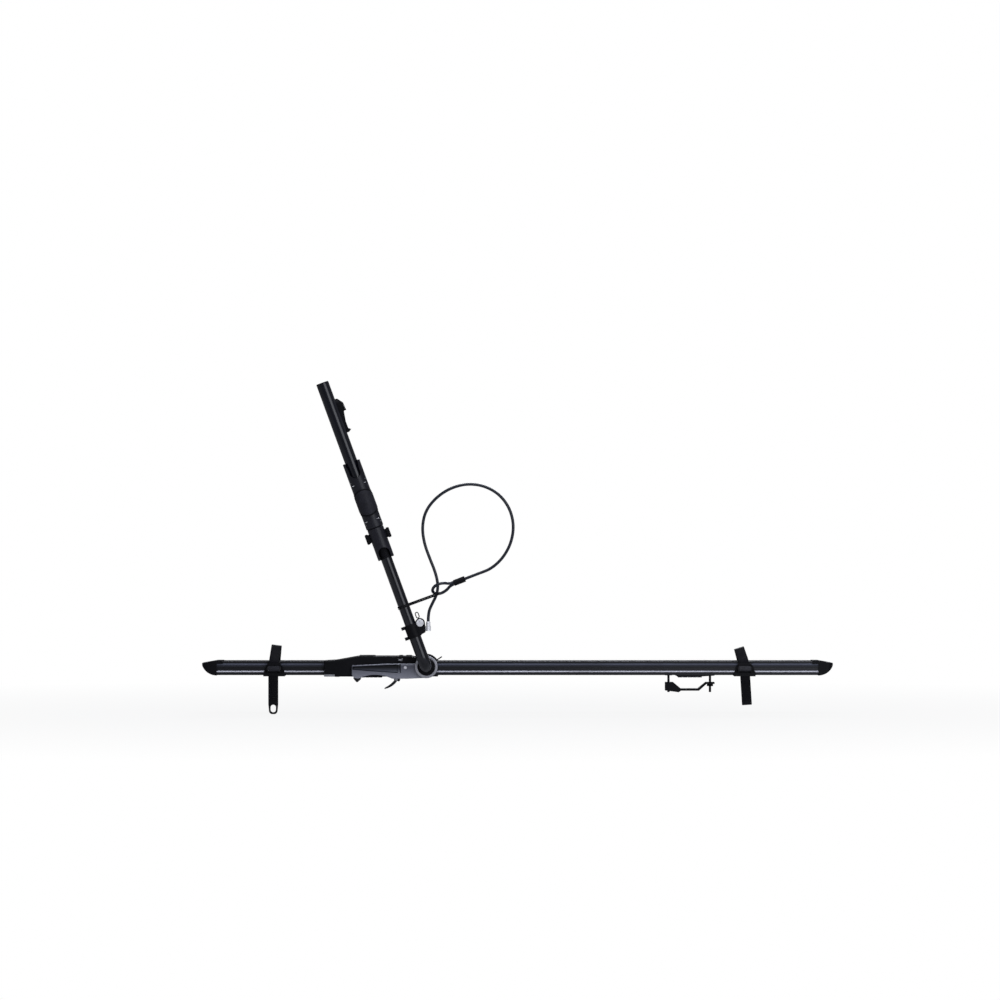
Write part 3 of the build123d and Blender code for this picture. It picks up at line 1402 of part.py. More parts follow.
with BuildPart() as rear_saddle_plate:
    with BuildSketch(Plane.XZ):
        with BuildLine():
            Polyline(
                (rear_plate_front_x, tray_bottom_z),
                (rear_plate_front_x, tray_bottom_z - rear_plate_edge),
                (rear_bar_x - rear_pad_length / 2, base_bottom_z),
                (rear_bar_x + rear_pad_length / 2, base_bottom_z),
                (rear_plate_rear_x, tray_bottom_z - rear_plate_edge),
                (rear_plate_rear_x, tray_bottom_z),
                close=True,
            )
        make_face()
    extrude(amount=rear_plate_half_width, both=True)
    with BuildSketch(Plane.XY.offset(tray_bottom_z)):
        with Locations((stud_places[0], 0)):
            RectangleRounded(small_plate_length, 2 * small_plate_half_width, rear_plate_edge)
    extrude(amount=-rear_plate_edge)
    with BuildSketch(Plane.XY.offset(tray_bottom_z + overrun)):
        with Locations((stud_places[0], 0), (stud_places[1], 0)):
            Circle(stud_radius + screw_gap)
    extrude(amount=-tray_bottom_z - overrun, mode=Mode.SUBTRACT)
rear_saddle_plate.part.label = "rear_saddle_plate"
export_step(rear_saddle_plate.part, "parts/rear_saddle_plate.step")

with BuildPart() as rear_bar_pad:
    with BuildSketch(Plane.XY):
        with Locations((rear_bar_x, 0)):
            RectangleRounded(rear_pad_length, 2 * rear_plate_half_width, 2 * pad_groove_width)
    extrude(amount=base_bottom_z)
    with BuildSketch(Plane.XZ):
        with Locations((rear_bar_x, 0)):
            with GridLocations(rear_pad_length / pad_groove_count, 0, pad_groove_count - 1, 1):
                Rectangle(pad_groove_width, 2 * pad_groove_depth)
    extrude(amount=rear_plate_half_width + overrun, both=True, mode=Mode.SUBTRACT)
rear_bar_pad.part.label = "rear_bar_pad"
export_step(rear_bar_pad.part, "parts/rear_bar_pad.step")

with BuildPart() as rear_studs:
    for stud_x in stud_places:
        with BuildSketch(Plane.XY.offset(slot_lip_z)):
            with Locations((stud_x, 0)):
                RectangleRounded(slot_nut_length, 2 * (slot_room_half_width - slide_gap), base_screw_radius)
        extrude(amount=slot_nut_height)
        with BuildSketch(Plane.XY.offset(slot_lip_z)):
            with Locations((stud_x, 0)):
                Circle(stud_radius)
        extrude(amount=stud_bottom_z - slot_lip_z)
rear_studs.part.label = "rear_studs"
export_step(rear_studs.part, "parts/rear_studs.step")

with BuildPart() as rear_clamp_bracket:
    with BuildSketch(Plane.XZ):
        with BuildLine():
            Polyline(
                (bracket_front_x, bracket_top_z),
                (bracket_front_shoulder_x, bracket_top_z),
                (bracket_seat_front_x, bracket_seat_z),
                (bracket_seat_rear_x, bracket_seat_z),
                (bracket_rear_shoulder_x, bracket_top_z),
                (bracket_rear_x, bracket_top_z),
                (bracket_rear_x, bracket_top_z - bracket_flange),
                (bracket_rear_shoulder_x + rear_plate_edge, bracket_top_z - bracket_flange),
                (bracket_seat_rear_x + bracket_thickness / 2, bracket_seat_z - bracket_thickness),
                (bracket_seat_front_x, bracket_seat_z - bracket_thickness),
                (bracket_seat_front_x - bracket_thickness, bracket_foot_z),
                (bracket_front_x, bracket_front_foot_z),
                close=True,
            )
        make_face()
    extrude(amount=bracket_half_width, both=True)
    bracket_ends = rear_clamp_bracket.faces().sort_by(Axis.Y)
    chamfer(bracket_ends[0].outer_wire().edges() + bracket_ends[-1].outer_wire().edges(), rear_plate_edge / 2)
    with BuildSketch(Plane.XY.offset(bracket_top_z + overrun)):
        with Locations((stud_places[0], 0), (stud_places[1], 0)):
            Circle(stud_radius + slide_gap)
    extrude(amount=bracket_foot_z - bracket_top_z - 2 * overrun, mode=Mode.SUBTRACT)
    with BuildSketch(Plane.XY.offset(bracket_top_z - bracket_flange)):
        with Locations((stud_places[0], 0)):
            Rectangle(2 * (stud_places[0] - bracket_front_x) + 2 * knob_pocket, 2 * (knob_radius + knob_pocket))
    extrude(amount=bracket_foot_z - bracket_top_z, mode=Mode.SUBTRACT)
rear_clamp_bracket.part.label = "rear_clamp_bracket"
export_step(rear_clamp_bracket.part, "parts/rear_clamp_bracket.step")

for knob_name, knob_x in zip(("front_clamp_knob", "rear_clamp_knob"), stud_places):
    with BuildPart() as knob:
        with BuildSketch(Plane.XY.offset(bracket_top_z - bracket_flange)):
            with Locations((knob_x, 0)):
                Circle(knob_radius)
                with PolarLocations(knob_radius, knob_flutes):
                    Circle(knob_flute_radius, mode=Mode.SUBTRACT)
                Circle(stud_radius + running_fit, mode=Mode.SUBTRACT)
        extrude(amount=-knob_height)
    knob.part.label = knob_name
    export_step(knob.part, f"parts/{knob_name}.step")

# Security cable: rises from its pin, runs through its own eye and stands in one wide noose beside the arm
cable_radius = 3.75
cable_run_share = 0.45
cable_route = (
    (143.5, -100, 142.5),
    (143.5, -100, 165.5),
    (154, -101, 188.5),
    (165.5, -102.5, 210.5),
    (168.5, -104, 236),
    (161, -105, 268),
    (147, -106, 302),
    (133.5, -107, 339),
    (128, -108, 379),
    (136, -109, 419),
    (161, -110, 452),
    (197, -110.5, 477),
    (240, -110, 489),
    (284, -109.5, 484),
    (323, -109, 462),
    (349, -108, 426),
    (359, -107, 383),
    (352, -106, 340),
    (332, -105, 303),
    (302, -104.5, 275),
    (268, -104.2, 262.5),
    (236, -104, 250),
)
ferrule_length = 30.0
ferrule_radius = 7.6
eye_tilt = 50.0
eye_outline = (
    (0, 3.8),
    (10, 3.8),
    (22, 14.5),
    (36, 19.5),
    (49, 16.5),
    (57, 5.5),
    (57, -5.5),
    (49, -16.5),
    (36, -19.5),
    (22, -14.5),
    (10, -3.8),
    (0, -3.8),
)


def tangent_radii(points):
    """Largest bend radius that the two runs at each inner point of a route leave room for."""
    places = [Vector(point) for point in points]
    runs = [second - first for first, second in zip(places, places[1:])]
    radii = []
    for first, second in zip(runs, runs[1:]):
        turn = math.radians(first.get_angle(second))
        radii.append(cable_run_share * min(first.length, second.length) / math.tan(turn / 2))
    return radii


ferrule_outer = Vector(cable_route[-1])
ferrule_axis = (ferrule_outer - Vector(cable_route[-2])).normalized()
ferrule_inner = ferrule_outer + ferrule_axis * ferrule_length
eye_across = ferrule_axis.cross(Vector(0, 1, 0)).normalized()
eye_side = eye_across * math.cos(math.radians(eye_tilt)) + Vector(0, math.sin(math.radians(eye_tilt)), 0)
eye_start = ferrule_inner + ferrule_axis * running_fit
eye_route = [eye_start + ferrule_axis * along + eye_side * aside for along, aside in eye_outline]

for cable_name, route in (("security_cable", cable_route), ("cable_eye", eye_route)):
    bend_radii = tangent_radii(route)
    with BuildPart() as cable:
        with BuildLine() as cable_path:
            FilletPolyline(*route, radius=bend_radii)
        with BuildSketch(Plane(origin=cable_path.wires()[0] @ 0, z_dir=cable_path.wires()[0] % 0)):
            Circle(cable_radius)
        sweep(path=cable_path.wires()[0])
    cable_length = cable_path.wires()[0].length
    cable.part.label = cable_name
    export_step(cable.part, f"parts/{cable_name}.step")
    print(cable_name, "length", round(cable_length, 1), "least radius", round(min(bend_radii), 1))
    print(cable_name, "radii", [round(radius, 1) for radius in bend_radii])
    print(cable_name, "volume share of section times length",
          round(cable.part.volume / (math.pi * cable_radius ** 2 * cable_length), 4))
    if cable_name == "security_cable":
        cable_points = [cable_path.wires()[0] @ (step / cable_length) for step in range(int(cable_length))]
    else:
        eye_points = [cable_path.wires()[0] @ (step / cable_length) for step in range(int(cable_length))]
least_gap = min((first - second).length for first in cable_points for second in eye_points) - 2 * cable_radius
print("least gap between cable and eye", round(least_gap, 2))

with BuildPart() as cable_ferrule:
    with BuildSketch(Plane(origin=ferrule_outer, x_dir=eye_side, z_dir=ferrule_axis)):
        Circle(ferrule_radius)
    extrude(amount=ferrule_length)
    chamfer(cable_ferrule.edges().filter_by(GeomType.CIRCLE), ring_round / 2)
cable_ferrule.part.label = "cable_ferrule"
export_step(cable_ferrule.part, "parts/cable_ferrule.step")

# Keeper: two slim loops that tie the cable to the lower tube
keeper_places = ((152.3, 78.5), (156.8, 83.5))
keeper_strand = 1.8
keeper_aside = -2.0
keeper_far_radius = 6.8
with BuildPart() as cable_keeper:
    for keeper_height, keeper_reach in keeper_places:
        with BuildSketch(arm_section(keeper_height)):
            Circle(lower_radius + screw_gap + keeper_strand)
            with Locations((keeper_reach, keeper_aside)):
                Circle(keeper_far_radius + keeper_strand)
            make_hull()
        extrude(amount=keeper_strand)
        with BuildSketch(arm_section(keeper_height)):
            Circle(lower_radius + screw_gap)
            with Locations((keeper_reach, keeper_aside)):
                Circle(keeper_far_radius)
            make_hull()
        extrude(amount=keeper_strand, mode=Mode.SUBTRACT)
cable_keeper.part.label = "cable_keeper"
export_step(cable_keeper.part, "parts/cable_keeper.step")
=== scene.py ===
import math
import bpy
from mathutils import Matrix, Vector


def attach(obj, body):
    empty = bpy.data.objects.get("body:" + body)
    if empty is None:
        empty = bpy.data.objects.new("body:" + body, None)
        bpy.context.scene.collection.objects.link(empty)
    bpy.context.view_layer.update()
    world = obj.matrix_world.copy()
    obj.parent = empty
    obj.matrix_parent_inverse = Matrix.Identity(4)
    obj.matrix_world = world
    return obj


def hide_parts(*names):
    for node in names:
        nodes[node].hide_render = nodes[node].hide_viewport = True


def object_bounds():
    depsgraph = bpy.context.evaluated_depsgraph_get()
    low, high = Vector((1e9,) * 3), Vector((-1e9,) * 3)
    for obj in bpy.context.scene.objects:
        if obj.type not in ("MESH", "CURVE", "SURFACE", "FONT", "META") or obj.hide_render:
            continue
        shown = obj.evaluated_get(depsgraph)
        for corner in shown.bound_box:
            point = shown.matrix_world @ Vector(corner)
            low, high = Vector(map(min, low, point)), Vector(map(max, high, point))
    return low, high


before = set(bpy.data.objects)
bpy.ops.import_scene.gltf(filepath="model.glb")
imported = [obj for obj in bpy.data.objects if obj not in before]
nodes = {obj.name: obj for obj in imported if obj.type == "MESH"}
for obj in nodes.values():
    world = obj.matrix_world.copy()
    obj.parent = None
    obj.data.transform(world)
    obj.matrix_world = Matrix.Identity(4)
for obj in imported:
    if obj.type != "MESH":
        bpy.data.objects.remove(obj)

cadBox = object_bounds()
print("stage: the frame is loaded,", len(nodes), "CAD nodes")


def nothingSelected():
    if bpy.context.mode != "OBJECT":
        bpy.ops.object.mode_set(mode="OBJECT")
    bpy.ops.object.select_all(action="DESELECT")


def pick(piece):
    nothingSelected()
    piece.select_set(True)
    bpy.context.view_layer.objects.active = piece


def hexColour(text):  # an sRGB hex value as linear colour
    parts = [int(text[i:i + 2], 16) / 255 for i in (0, 2, 4)]
    linear = [c / 12.92 if c <= 0.04045 else ((c + 0.055) / 1.055) ** 2.4 for c in parts]
    return (*linear, 1.0)


waveRepeat = math.tau / 20  # a ringed wave of scale 1 repeats after this, a diagonal one after twice this


def perMetre(millimetres):  # the scale of a pattern whose grains are so many millimetres wide
    return 1000 / millimetres


def addNode(tree, kind, links=None, stops=None, **settings):
    # settings are the node's own, links gives each socket a value or the (node, output) that feeds it,
    # and stops gives a ramp its places, each with a hex value or a grey
    node = tree.nodes.new("ShaderNode" + kind)
    for name, value in settings.items():
        setattr(node, name, value)
    for name, value in (links or {}).items():
        if isinstance(value, tuple) and hasattr(value[0], "outputs"):
            tree.links.new(value[0].outputs[value[1]], node.inputs[name])
        else:
            node.inputs[name].default_value = value
    if stops:
        while len(node.color_ramp.elements) < len(stops):
            node.color_ramp.elements.new(0.5)
        for element, (spot, colour) in zip(node.color_ramp.elements, stops):
            element.position = spot
            element.color = hexColour(colour) if isinstance(colour, str) else (colour, colour, colour, 1)
    return node


def feed(tree, node, **sources):  # each named socket of the node takes the (node, output) given for it
    for socket, (source, output) in sources.items():
        tree.links.new(source.outputs[output], node.inputs[socket.replace("_", " ")])


def newMaterial(name, colour, roughness, **sockets):
    material = bpy.data.materials.new(name)
    material.use_nodes = True
    tree = material.node_tree
    shader = tree.nodes["Principled BSDF"]
    shader.inputs["Base Color"].default_value = hexColour(colour)
    shader.inputs["Roughness"].default_value = roughness
    for socket, value in sockets.items():
        shader.inputs[socket.replace("_", " ")].default_value = value
    place = (addNode(tree, "TexCoord"), "Object")
    return material, tree, shader, place


def dress(material, *names):  # a CAD node keeps its mesh and gets the finish
    for name in names:
        slots = nodes[name].data.materials
        slots.clear()
        slots.append(material)


def settle(piece, body, material, slotName, *replaced):
    # place, turn and size go into the mesh, then the piece rides
    if piece.type == "MESH":
        pick(piece)
        bpy.ops.object.transform_apply(location=True, rotation=True, scale=True)
    piece.data.materials.clear()
    piece.data.materials.append(material)
    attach(piece, body)
    if replaced:
        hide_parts(*replaced)


# camera: level, far back, so that the tray is seen side on as in the photo
view = {"x": 0.3238, "z": 0.4478, "away": 14.0, "width": 2.53, "sensor": 36.0, "farEnd": 60.0}
cameraData = bpy.data.cameras.new("photoCamera")
cameraData.sensor_width = view["sensor"]
cameraData.lens = view["sensor"] * view["away"] / view["width"]
cameraData.clip_end = view["farEnd"]
camera = bpy.data.objects.new("photoCamera", cameraData)
camera.location = (view["x"], -view["away"], view["z"])
camera.rotation_euler = (math.radians(90), 0, 0)
bpy.context.scene.collection.objects.link(camera)
bpy.context.scene.camera = camera
print("stage: camera")

# security cable, which stands as a stiff noose, and the eye at its far end
cable = {
    "radius": 0.00375,
    "route": [
        (0.1435, -0.1, 0.1425), (0.1435, -0.1, 0.1655), (0.154, -0.101, 0.1885),
        (0.1655, -0.1025, 0.2105), (0.1685, -0.104, 0.236), (0.161, -0.105, 0.268),
        (0.147, -0.106, 0.302), (0.1335, -0.107, 0.339), (0.128, -0.108, 0.379),
        (0.136, -0.109, 0.419), (0.161, -0.11, 0.452), (0.197, -0.1105, 0.477),
        (0.24, -0.11, 0.489), (0.284, -0.1095, 0.484), (0.323, -0.109, 0.462),
        (0.349, -0.108, 0.426), (0.359, -0.107, 0.383), (0.352, -0.106, 0.34),
        (0.332, -0.105, 0.303), (0.302, -0.1045, 0.275), (0.268, -0.1042, 0.2625),
        (0.236, -0.104, 0.25),
    ],
    "length": 0.787,
    "strandPitch": 0.01717,
    "strandTurns": 1.53,
    "ferruleLength": 0.03,
    "ferruleGap": 0.00006,
    "eye": [  # mm along the ferrule and aside of it
        (0, 3.8), (10, 3.8), (22, 14.5), (36, 19.5), (49, 16.5), (57, 5.5),
        (57, -5.5), (49, -16.5), (36, -19.5), (22, -14.5), (10, -3.8), (0, -3.8),
    ],
    "eyeTurn": 50.0,
    "eyeLength": 0.143,
}


def splineAlong(name, points, radius):
    # one open NURBS line, whose control points are the points of the route
    curve = bpy.data.curves.new(name, "CURVE")
    curve.dimensions = "3D"
    spline = curve.splines.new("NURBS")
    spline.points.add(len(points) - 1)
    for knot, point in zip(spline.points, points):
        knot.co = (*point, 1.0)
    spline.order_u = 3
    spline.use_endpoint_u = True
    spline.resolution_u = 12
    curve.bevel_depth = radius
    curve.bevel_resolution = 6
    curve.use_fill_caps = True
    piece = bpy.data.objects.new(name, curve)
    bpy.context.scene.collection.objects.link(piece)
    return piece


ferruleOuter = Vector(cable["route"][-1])
ferruleAxis = (ferruleOuter - Vector(cable["route"][-2])).normalized()
ferruleInner = ferruleOuter + ferruleAxis * cable["ferruleLength"]
eyeStart = ferruleInner + ferruleAxis * cable["ferruleGap"]
across = ferruleAxis.cross(Vector((0, 1, 0))).normalized()
eyeTurn = math.radians(cable["eyeTurn"])
eyeSide = across * math.cos(eyeTurn) + Vector((0, 1, 0)) * math.sin(eyeTurn)
eyePoints = [eyeStart + (ferruleAxis * along + eyeSide * aside) / 1000 for along, aside in cable["eye"]]
cablePiece = splineAlong("securityCable", cable["route"], cable["radius"])
eyePiece = splineAlong("cableEye", eyePoints, cable["radius"])
print("stage: cable")

# the pieces of the arm are made in its own leaning frame: x to the rear, y across, z up along the arm
armLean = math.radians(20.07)
armFoot = Vector((0.1381, -0.1, 0.0278))
armTurn = (0, -armLean, 0)
acrossY = (math.radians(90), 0, 0)  # a rod that lies along y


def onArm(x, y, z):
    return armFoot + Matrix.Rotation(-armLean, 3, "Y") @ Vector((x, y, z))


# black anodised aluminium: faint long die lines, drawn coarser than the real ones so that they show,
# a painted highlight along the ridge and a softer painted sheen under the top edge
anodised, tree, shader, place = newMaterial("blackAnodisedAluminium", "14151b", 0.4, Metallic=0.3)
drawn = addNode(tree, "Mapping", {"Vector": place, "Scale": (perMetre(667), perMetre(1.11), perMetre(1.11))})
dieLines = addNode(tree, "TexNoise", {"Vector": (drawn, 0), "Scale": 1.0, "Detail": 3.0, "Roughness": 0.6})
clouds = addNode(tree, "TexNoise", {"Vector": place, "Scale": perMetre(111), "Detail": 4.0})
axes = addNode(tree, "SeparateXYZ", {"Vector": place})
level = addNode(tree, "MapRange", {"Value": (axes, "Z"), "From Min": 0.006, "From Max": 0.042})
# colour by height on the channel: a painted highlight on the ridge, a painted sheen under the top edge,
# darker bands between
paintedRidgeHighlightAndSheen = addNode(tree, "ValToRGB", {"Fac": (level, "Result")}, [
    (0.0, "0d0d16"), (0.19, "11111b"), (0.21, "f4f4ff"), (0.29, "e2e2f0"), (0.31, "101019"),
    (0.56, "0f1017"), (0.7, "383b48"), (0.79, "7b8094"), (0.84, "14151d"), (0.87, "0b0b13"), (1.0, "07070c")])
mottle = addNode(tree, "ValToRGB", {"Fac": (clouds, "Fac")}, [(0.3, "d6d6d6"), (0.7, "ffffff")])
tone = addNode(tree, "Mix", {"Factor": 1.0, 6: (paintedRidgeHighlightAndSheen, "Color"), 7: (mottle, "Color")},
               data_type="RGBA", blend_type="MULTIPLY")
gloss = addNode(tree, "ValToRGB", {"Fac": (dieLines, "Fac")}, [(0.3, 0.34), (0.7, 0.48)])
relief = addNode(tree, "Bump", {"Height": (dieLines, "Fac"), "Strength": 0.1, "Distance": 0.0004})
feed(tree, shader, Base_Color=(tone, 2), Roughness=(gloss, 0), Normal=(relief, 0))

# glass-filled nylon, moulded: spark-eroded grain of 0.5 mm, coarser than the real 0.2 mm so that it shows
nylon, tree, shader, place = newMaterial("blackMouldedNylon", "07070b", 0.5, Specular_IOR_Level=0.16)
grain = addNode(tree, "TexNoise", {"Vector": place, "Scale": perMetre(0.5), "Detail": 2.0})
flow = addNode(tree, "TexNoise", {"Vector": place, "Scale": perMetre(33.3), "Detail": 5.0,
                                  "Distortion": 0.6})
tone = addNode(tree, "ValToRGB", {"Fac": (flow, "Fac")}, [(0.3, "040408"), (0.7, "0a0a10")])
gloss = addNode(tree, "ValToRGB", {"Fac": (flow, "Fac")}, [(0.25, 0.42), (0.75, 0.56)])
relief = addNode(tree, "Bump", {"Height": (grain, "Fac"), "Strength": 0.25, "Distance": 0.0002})
feed(tree, shader, Base_Color=(tone, 0), Roughness=(gloss, 0), Normal=(relief, 0))

# soft-touch overmould on the grip and the pads: matt, with a leathery grain of 1.1 mm
softTouch, tree, shader, place = newMaterial("softTouchElastomer", "1c1c23", 0.6, Specular_IOR_Level=0.3)
pebble = addNode(tree, "TexVoronoi", {"Vector": place, "Scale": perMetre(1.11)}, feature="SMOOTH_F1")
dust = addNode(tree, "TexNoise", {"Vector": place, "Scale": perMetre(22.2), "Detail": 6.0})
tone = addNode(tree, "ValToRGB", {"Fac": (dust, "Fac")}, [(0.35, "181820"), (0.75, "24242d")])
relief = addNode(tree, "Bump", {"Height": (pebble, "Distance"), "Strength": 0.35, "Distance": 0.0003})
feed(tree, shader, Base_Color=(tone, 0), Normal=(relief, 0))

# rubber strap: moulded and a little dusty, nearly no gloss, with a fine skin
rubber, tree, shader, place = newMaterial("mouldedBlackRubber", "0a0a0e", 0.72, Specular_IOR_Level=0.15)
bloom = addNode(tree, "TexNoise", {"Vector": place, "Scale": perMetre(16.7), "Detail": 6.0,
                                   "Roughness": 0.65})
skin = addNode(tree, "TexNoise", {"Vector": place, "Scale": perMetre(0.714), "Detail": 2.0})
tone = addNode(tree, "ValToRGB", {"Fac": (bloom, "Fac")}, [(0.3, "07070b"), (0.7, "0f0e15")])
gloss = addNode(tree, "ValToRGB", {"Fac": (bloom, "Fac")}, [(0.3, 0.6), (0.75, 0.8)])
relief = addNode(tree, "Bump", {"Height": (skin, "Fac"), "Strength": 0.2, "Distance": 0.0002})
feed(tree, shader, Base_Color=(tone, 0), Roughness=(gloss, 0), Normal=(relief, 0))

# zinc die casting under metallic grey lacquer: flakes that glint under a clear coat, drawn 0.4 mm wide,
# coarser than the real ones, so that they show
zincLacquer, tree, shader, place = newMaterial(
    "metallicGreyLacquer", "6c6c78", 0.34, Metallic=0.75, Coat_Weight=0.35, Coat_Roughness=0.18)
flake = addNode(tree, "TexVoronoi", {"Vector": place, "Scale": perMetre(0.4)})
drift = addNode(tree, "TexNoise", {"Vector": place, "Scale": perMetre(45.5), "Detail": 4.0})
flakeTone = addNode(tree, "ValToRGB", {"Fac": (flake, "Color")}, [(0.1, "5c5c68"), (0.9, "8c8c99")])
driftTone = addNode(tree, "ValToRGB", {"Fac": (drift, "Fac")}, [(0.3, "62626d"), (0.7, "7c7c88")])
lacquer = addNode(tree, "Mix", {"Factor": 0.6, 6: (flakeTone, "Color"), 7: (driftTone, "Color")},
                  data_type="RGBA")
axes = addNode(tree, "SeparateXYZ", {"Vector": place})
level = addNode(tree, "MapRange", {"Value": (axes, "Z"), "From Min": -0.002, "From Max": 0.036})
# painted light by height: lighter low down, darker higher up, and a painted highlight along the top edge
paintedLightByHeight = addNode(tree, "ValToRGB", {"Fac": (level, "Result")}, [
    (0.0, "b8bac6"), (0.45, "8d8f9b"), (0.8, "5f616c"), (1.0, "a4a6b2")])
tone = addNode(tree, "Mix", {"Factor": 0.7, 6: (lacquer, 2), 7: (paintedLightByHeight, "Color")}, data_type="RGBA")
peel = addNode(tree, "TexNoise", {"Vector": place, "Scale": perMetre(3.125), "Detail": 1.0})
relief = addNode(tree, "Bump", {"Height": (peel, "Fac"), "Strength": 0.1, "Distance": 0.0003})
feed(tree, shader, Base_Color=(tone, 2), Normal=(relief, 0))

# steel tube with stoved gloss black lacquer: deep black, a clear sharp highlight and slight orange peel
glossLacquer, tree, shader, place = newMaterial(
    "stovedBlackLacquer", "05050a", 0.14, Coat_Weight=0.3, Coat_Roughness=0.08, Specular_IOR_Level=0.4)
peel = addNode(tree, "TexNoise", {"Vector": place, "Scale": perMetre(3.85), "Detail": 2.0})
haze = addNode(tree, "TexNoise", {"Vector": place, "Scale": perMetre(71.4), "Detail": 5.0})
tone = addNode(tree, "ValToRGB", {"Fac": (haze, "Fac")}, [(0.3, "07080f"), (0.75, "0d0f1a")])
gloss = addNode(tree, "ValToRGB", {"Fac": (haze, "Fac")}, [(0.3, 0.16), (0.75, 0.24)])
relief = addNode(tree, "Bump", {"Height": (peel, "Fac"), "Strength": 0.06, "Distance": 0.0004})
feed(tree, shader, Base_Color=(tone, 0), Roughness=(gloss, 0), Normal=(relief, 0))

# bright zinc plated steel: fasteners, pins and plates, with fine scratches
zincPlate, tree, shader, place = newMaterial("brightZincPlate", "b9bac0", 0.3, Metallic=1.0)
scratch = addNode(tree, "TexNoise", {"Vector": place, "Scale": perMetre(1.43), "Detail": 4.0,
                                     "Distortion": 1.5})
tone = addNode(tree, "ValToRGB", {"Fac": (scratch, "Fac")}, [(0.3, "a6a7ae"), (0.7, "c6c7cc")])
gloss = addNode(tree, "ValToRGB", {"Fac": (scratch, "Fac")}, [(0.3, 0.2), (0.7, 0.42)])
feed(tree, shader, Base_Color=(tone, 0), Roughness=(gloss, 0))

# satin anodised ring: turned, so its lines run round the pivot, 0.75 mm apart so that they show
satinRing, tree, shader, place = newMaterial("satinTurnedAluminium", "b9b9c0", 0.38, Metallic=1.0)
centre = addNode(tree, "Mapping", {"Vector": place, "Location": (-armFoot.x, 0, -armFoot.z)})
turned = addNode(tree, "TexWave", {
    "Vector": (centre, 0), "Scale": perMetre(0.748) * waveRepeat, "Distortion": 1.0, "Detail": 2.0},
    wave_type="RINGS", rings_direction="Y")
tone = addNode(tree, "ValToRGB", {"Fac": (turned, "Fac")}, [(0.0, "a9a9b1"), (1.0, "c4c4ca")])
gloss = addNode(tree, "ValToRGB", {"Fac": (turned, "Fac")}, [(0.0, 0.3), (1.0, 0.46)])
feed(tree, shader, Base_Color=(tone, 0), Roughness=(gloss, 0))

# lock barrel, pin, rivet and the bright dashes on the shells: polished nickel, whose bright reflection is
# painted into a near-white base colour over little metal
nickelPaintedBright, tree, shader, place = newMaterial("polishedNickelPaintedBright", "fafafe", 0.24, Metallic=0.2)
smear = addNode(tree, "TexNoise", {"Vector": place, "Scale": perMetre(5.56), "Detail": 4.0})
gloss = addNode(tree, "ValToRGB", {"Fac": (smear, "Fac")}, [(0.3, 0.1), (0.7, 0.26)])
feed(tree, shader, Roughness=(gloss, 0))

# steel rope in a smooth vinyl sleeve: dark slate blue, its strands faintly under it, one every 17 mm along
# the cable and closer round the eye, which is shorter
vinyl, tree, shader, place = newMaterial(
    "slateVinylSleeve", "1b202b", 0.3, Coat_Weight=0.2, Coat_Roughness=0.12, Specular_IOR_Level=0.35)
strandCount = cable["length"] / cable["strandPitch"]
twist = addNode(tree, "Mapping", {"Vector": (place[0], "UV"),
                                  "Scale": (strandCount, cable["strandTurns"], 1)})
strands = addNode(tree, "TexWave", {"Vector": (twist, 0), "Scale": 2 * waveRepeat, "Distortion": 0.0},
                  bands_direction="DIAGONAL")
tone = addNode(tree, "ValToRGB", {"Fac": (strands, "Fac")}, [(0.2, "191d27"), (0.8, "1f2430")])
relief = addNode(tree, "Bump", {"Height": (strands, "Fac"), "Strength": 0.05, "Distance": 0.0003})
feed(tree, shader, Base_Color=(tone, 0), Normal=(relief, 0))

# black plated fasteners: zinc under a black passivation, rubbed paler where a spanner has turned them
blackPlate, tree, shader, place = newMaterial("blackPassivatedZinc", "101014", 0.38, Metallic=0.6)
rub = addNode(tree, "TexNoise", {"Vector": place, "Scale": perMetre(2.38), "Detail": 4.0,
                                 "Distortion": 0.8})
tone = addNode(tree, "ValToRGB", {"Fac": (rub, "Fac")}, [(0.35, "0b0b0f"), (0.75, "22222a")])
gloss = addNode(tree, "ValToRGB", {"Fac": (rub, "Fac")}, [(0.3, 0.3), (0.7, 0.5)])
feed(tree, shader, Base_Color=(tone, 0), Roughness=(gloss, 0))

# braided cord of the keeper: plies laid at a slant, 1 mm apart, matt black
braid, tree, shader, place = newMaterial("braidedPolyesterCord", "101013", 0.8, Specular_IOR_Level=0.25)
slant = addNode(tree, "Mapping", {"Vector": (place[0], "UV"), "Scale": (95.5, 6.37, 1)})
plies = addNode(tree, "TexWave", {"Vector": (slant, 0), "Scale": 2 * waveRepeat, "Distortion": 0.4},
                bands_direction="DIAGONAL")
tone = addNode(tree, "ValToRGB", {"Fac": (plies, "Fac")}, [(0.2, "08080a"), (0.8, "1b1b20")])
relief = addNode(tree, "Bump", {"Height": (plies, "Fac"), "Strength": 0.5, "Distance": 0.0003})
feed(tree, shader, Base_Color=(tone, 0), Normal=(relief, 0))

# adjuster shells, release sleeve and buckle levers: the same nylon, dyed charcoal and a little glossier
charcoal, tree, shader, place = newMaterial("charcoalMouldedNylon", "17171e", 0.38, Specular_IOR_Level=0.35)
grain = addNode(tree, "TexNoise", {"Vector": place, "Scale": perMetre(0.625), "Detail": 2.0})
flow = addNode(tree, "TexNoise", {"Vector": place, "Scale": perMetre(38.5), "Detail": 5.0,
                                  "Distortion": 0.5})
tone = addNode(tree, "ValToRGB", {"Fac": (flow, "Fac")}, [(0.3, "13131a"), (0.7, "1e1e27")])
gloss = addNode(tree, "ValToRGB", {"Fac": (flow, "Fac")}, [(0.25, 0.33), (0.75, 0.45)])
relief = addNode(tree, "Bump", {"Height": (grain, "Fac"), "Strength": 0.2, "Distance": 0.0002})
feed(tree, shader, Base_Color=(tone, 0), Roughness=(gloss, 0), Normal=(relief, 0))
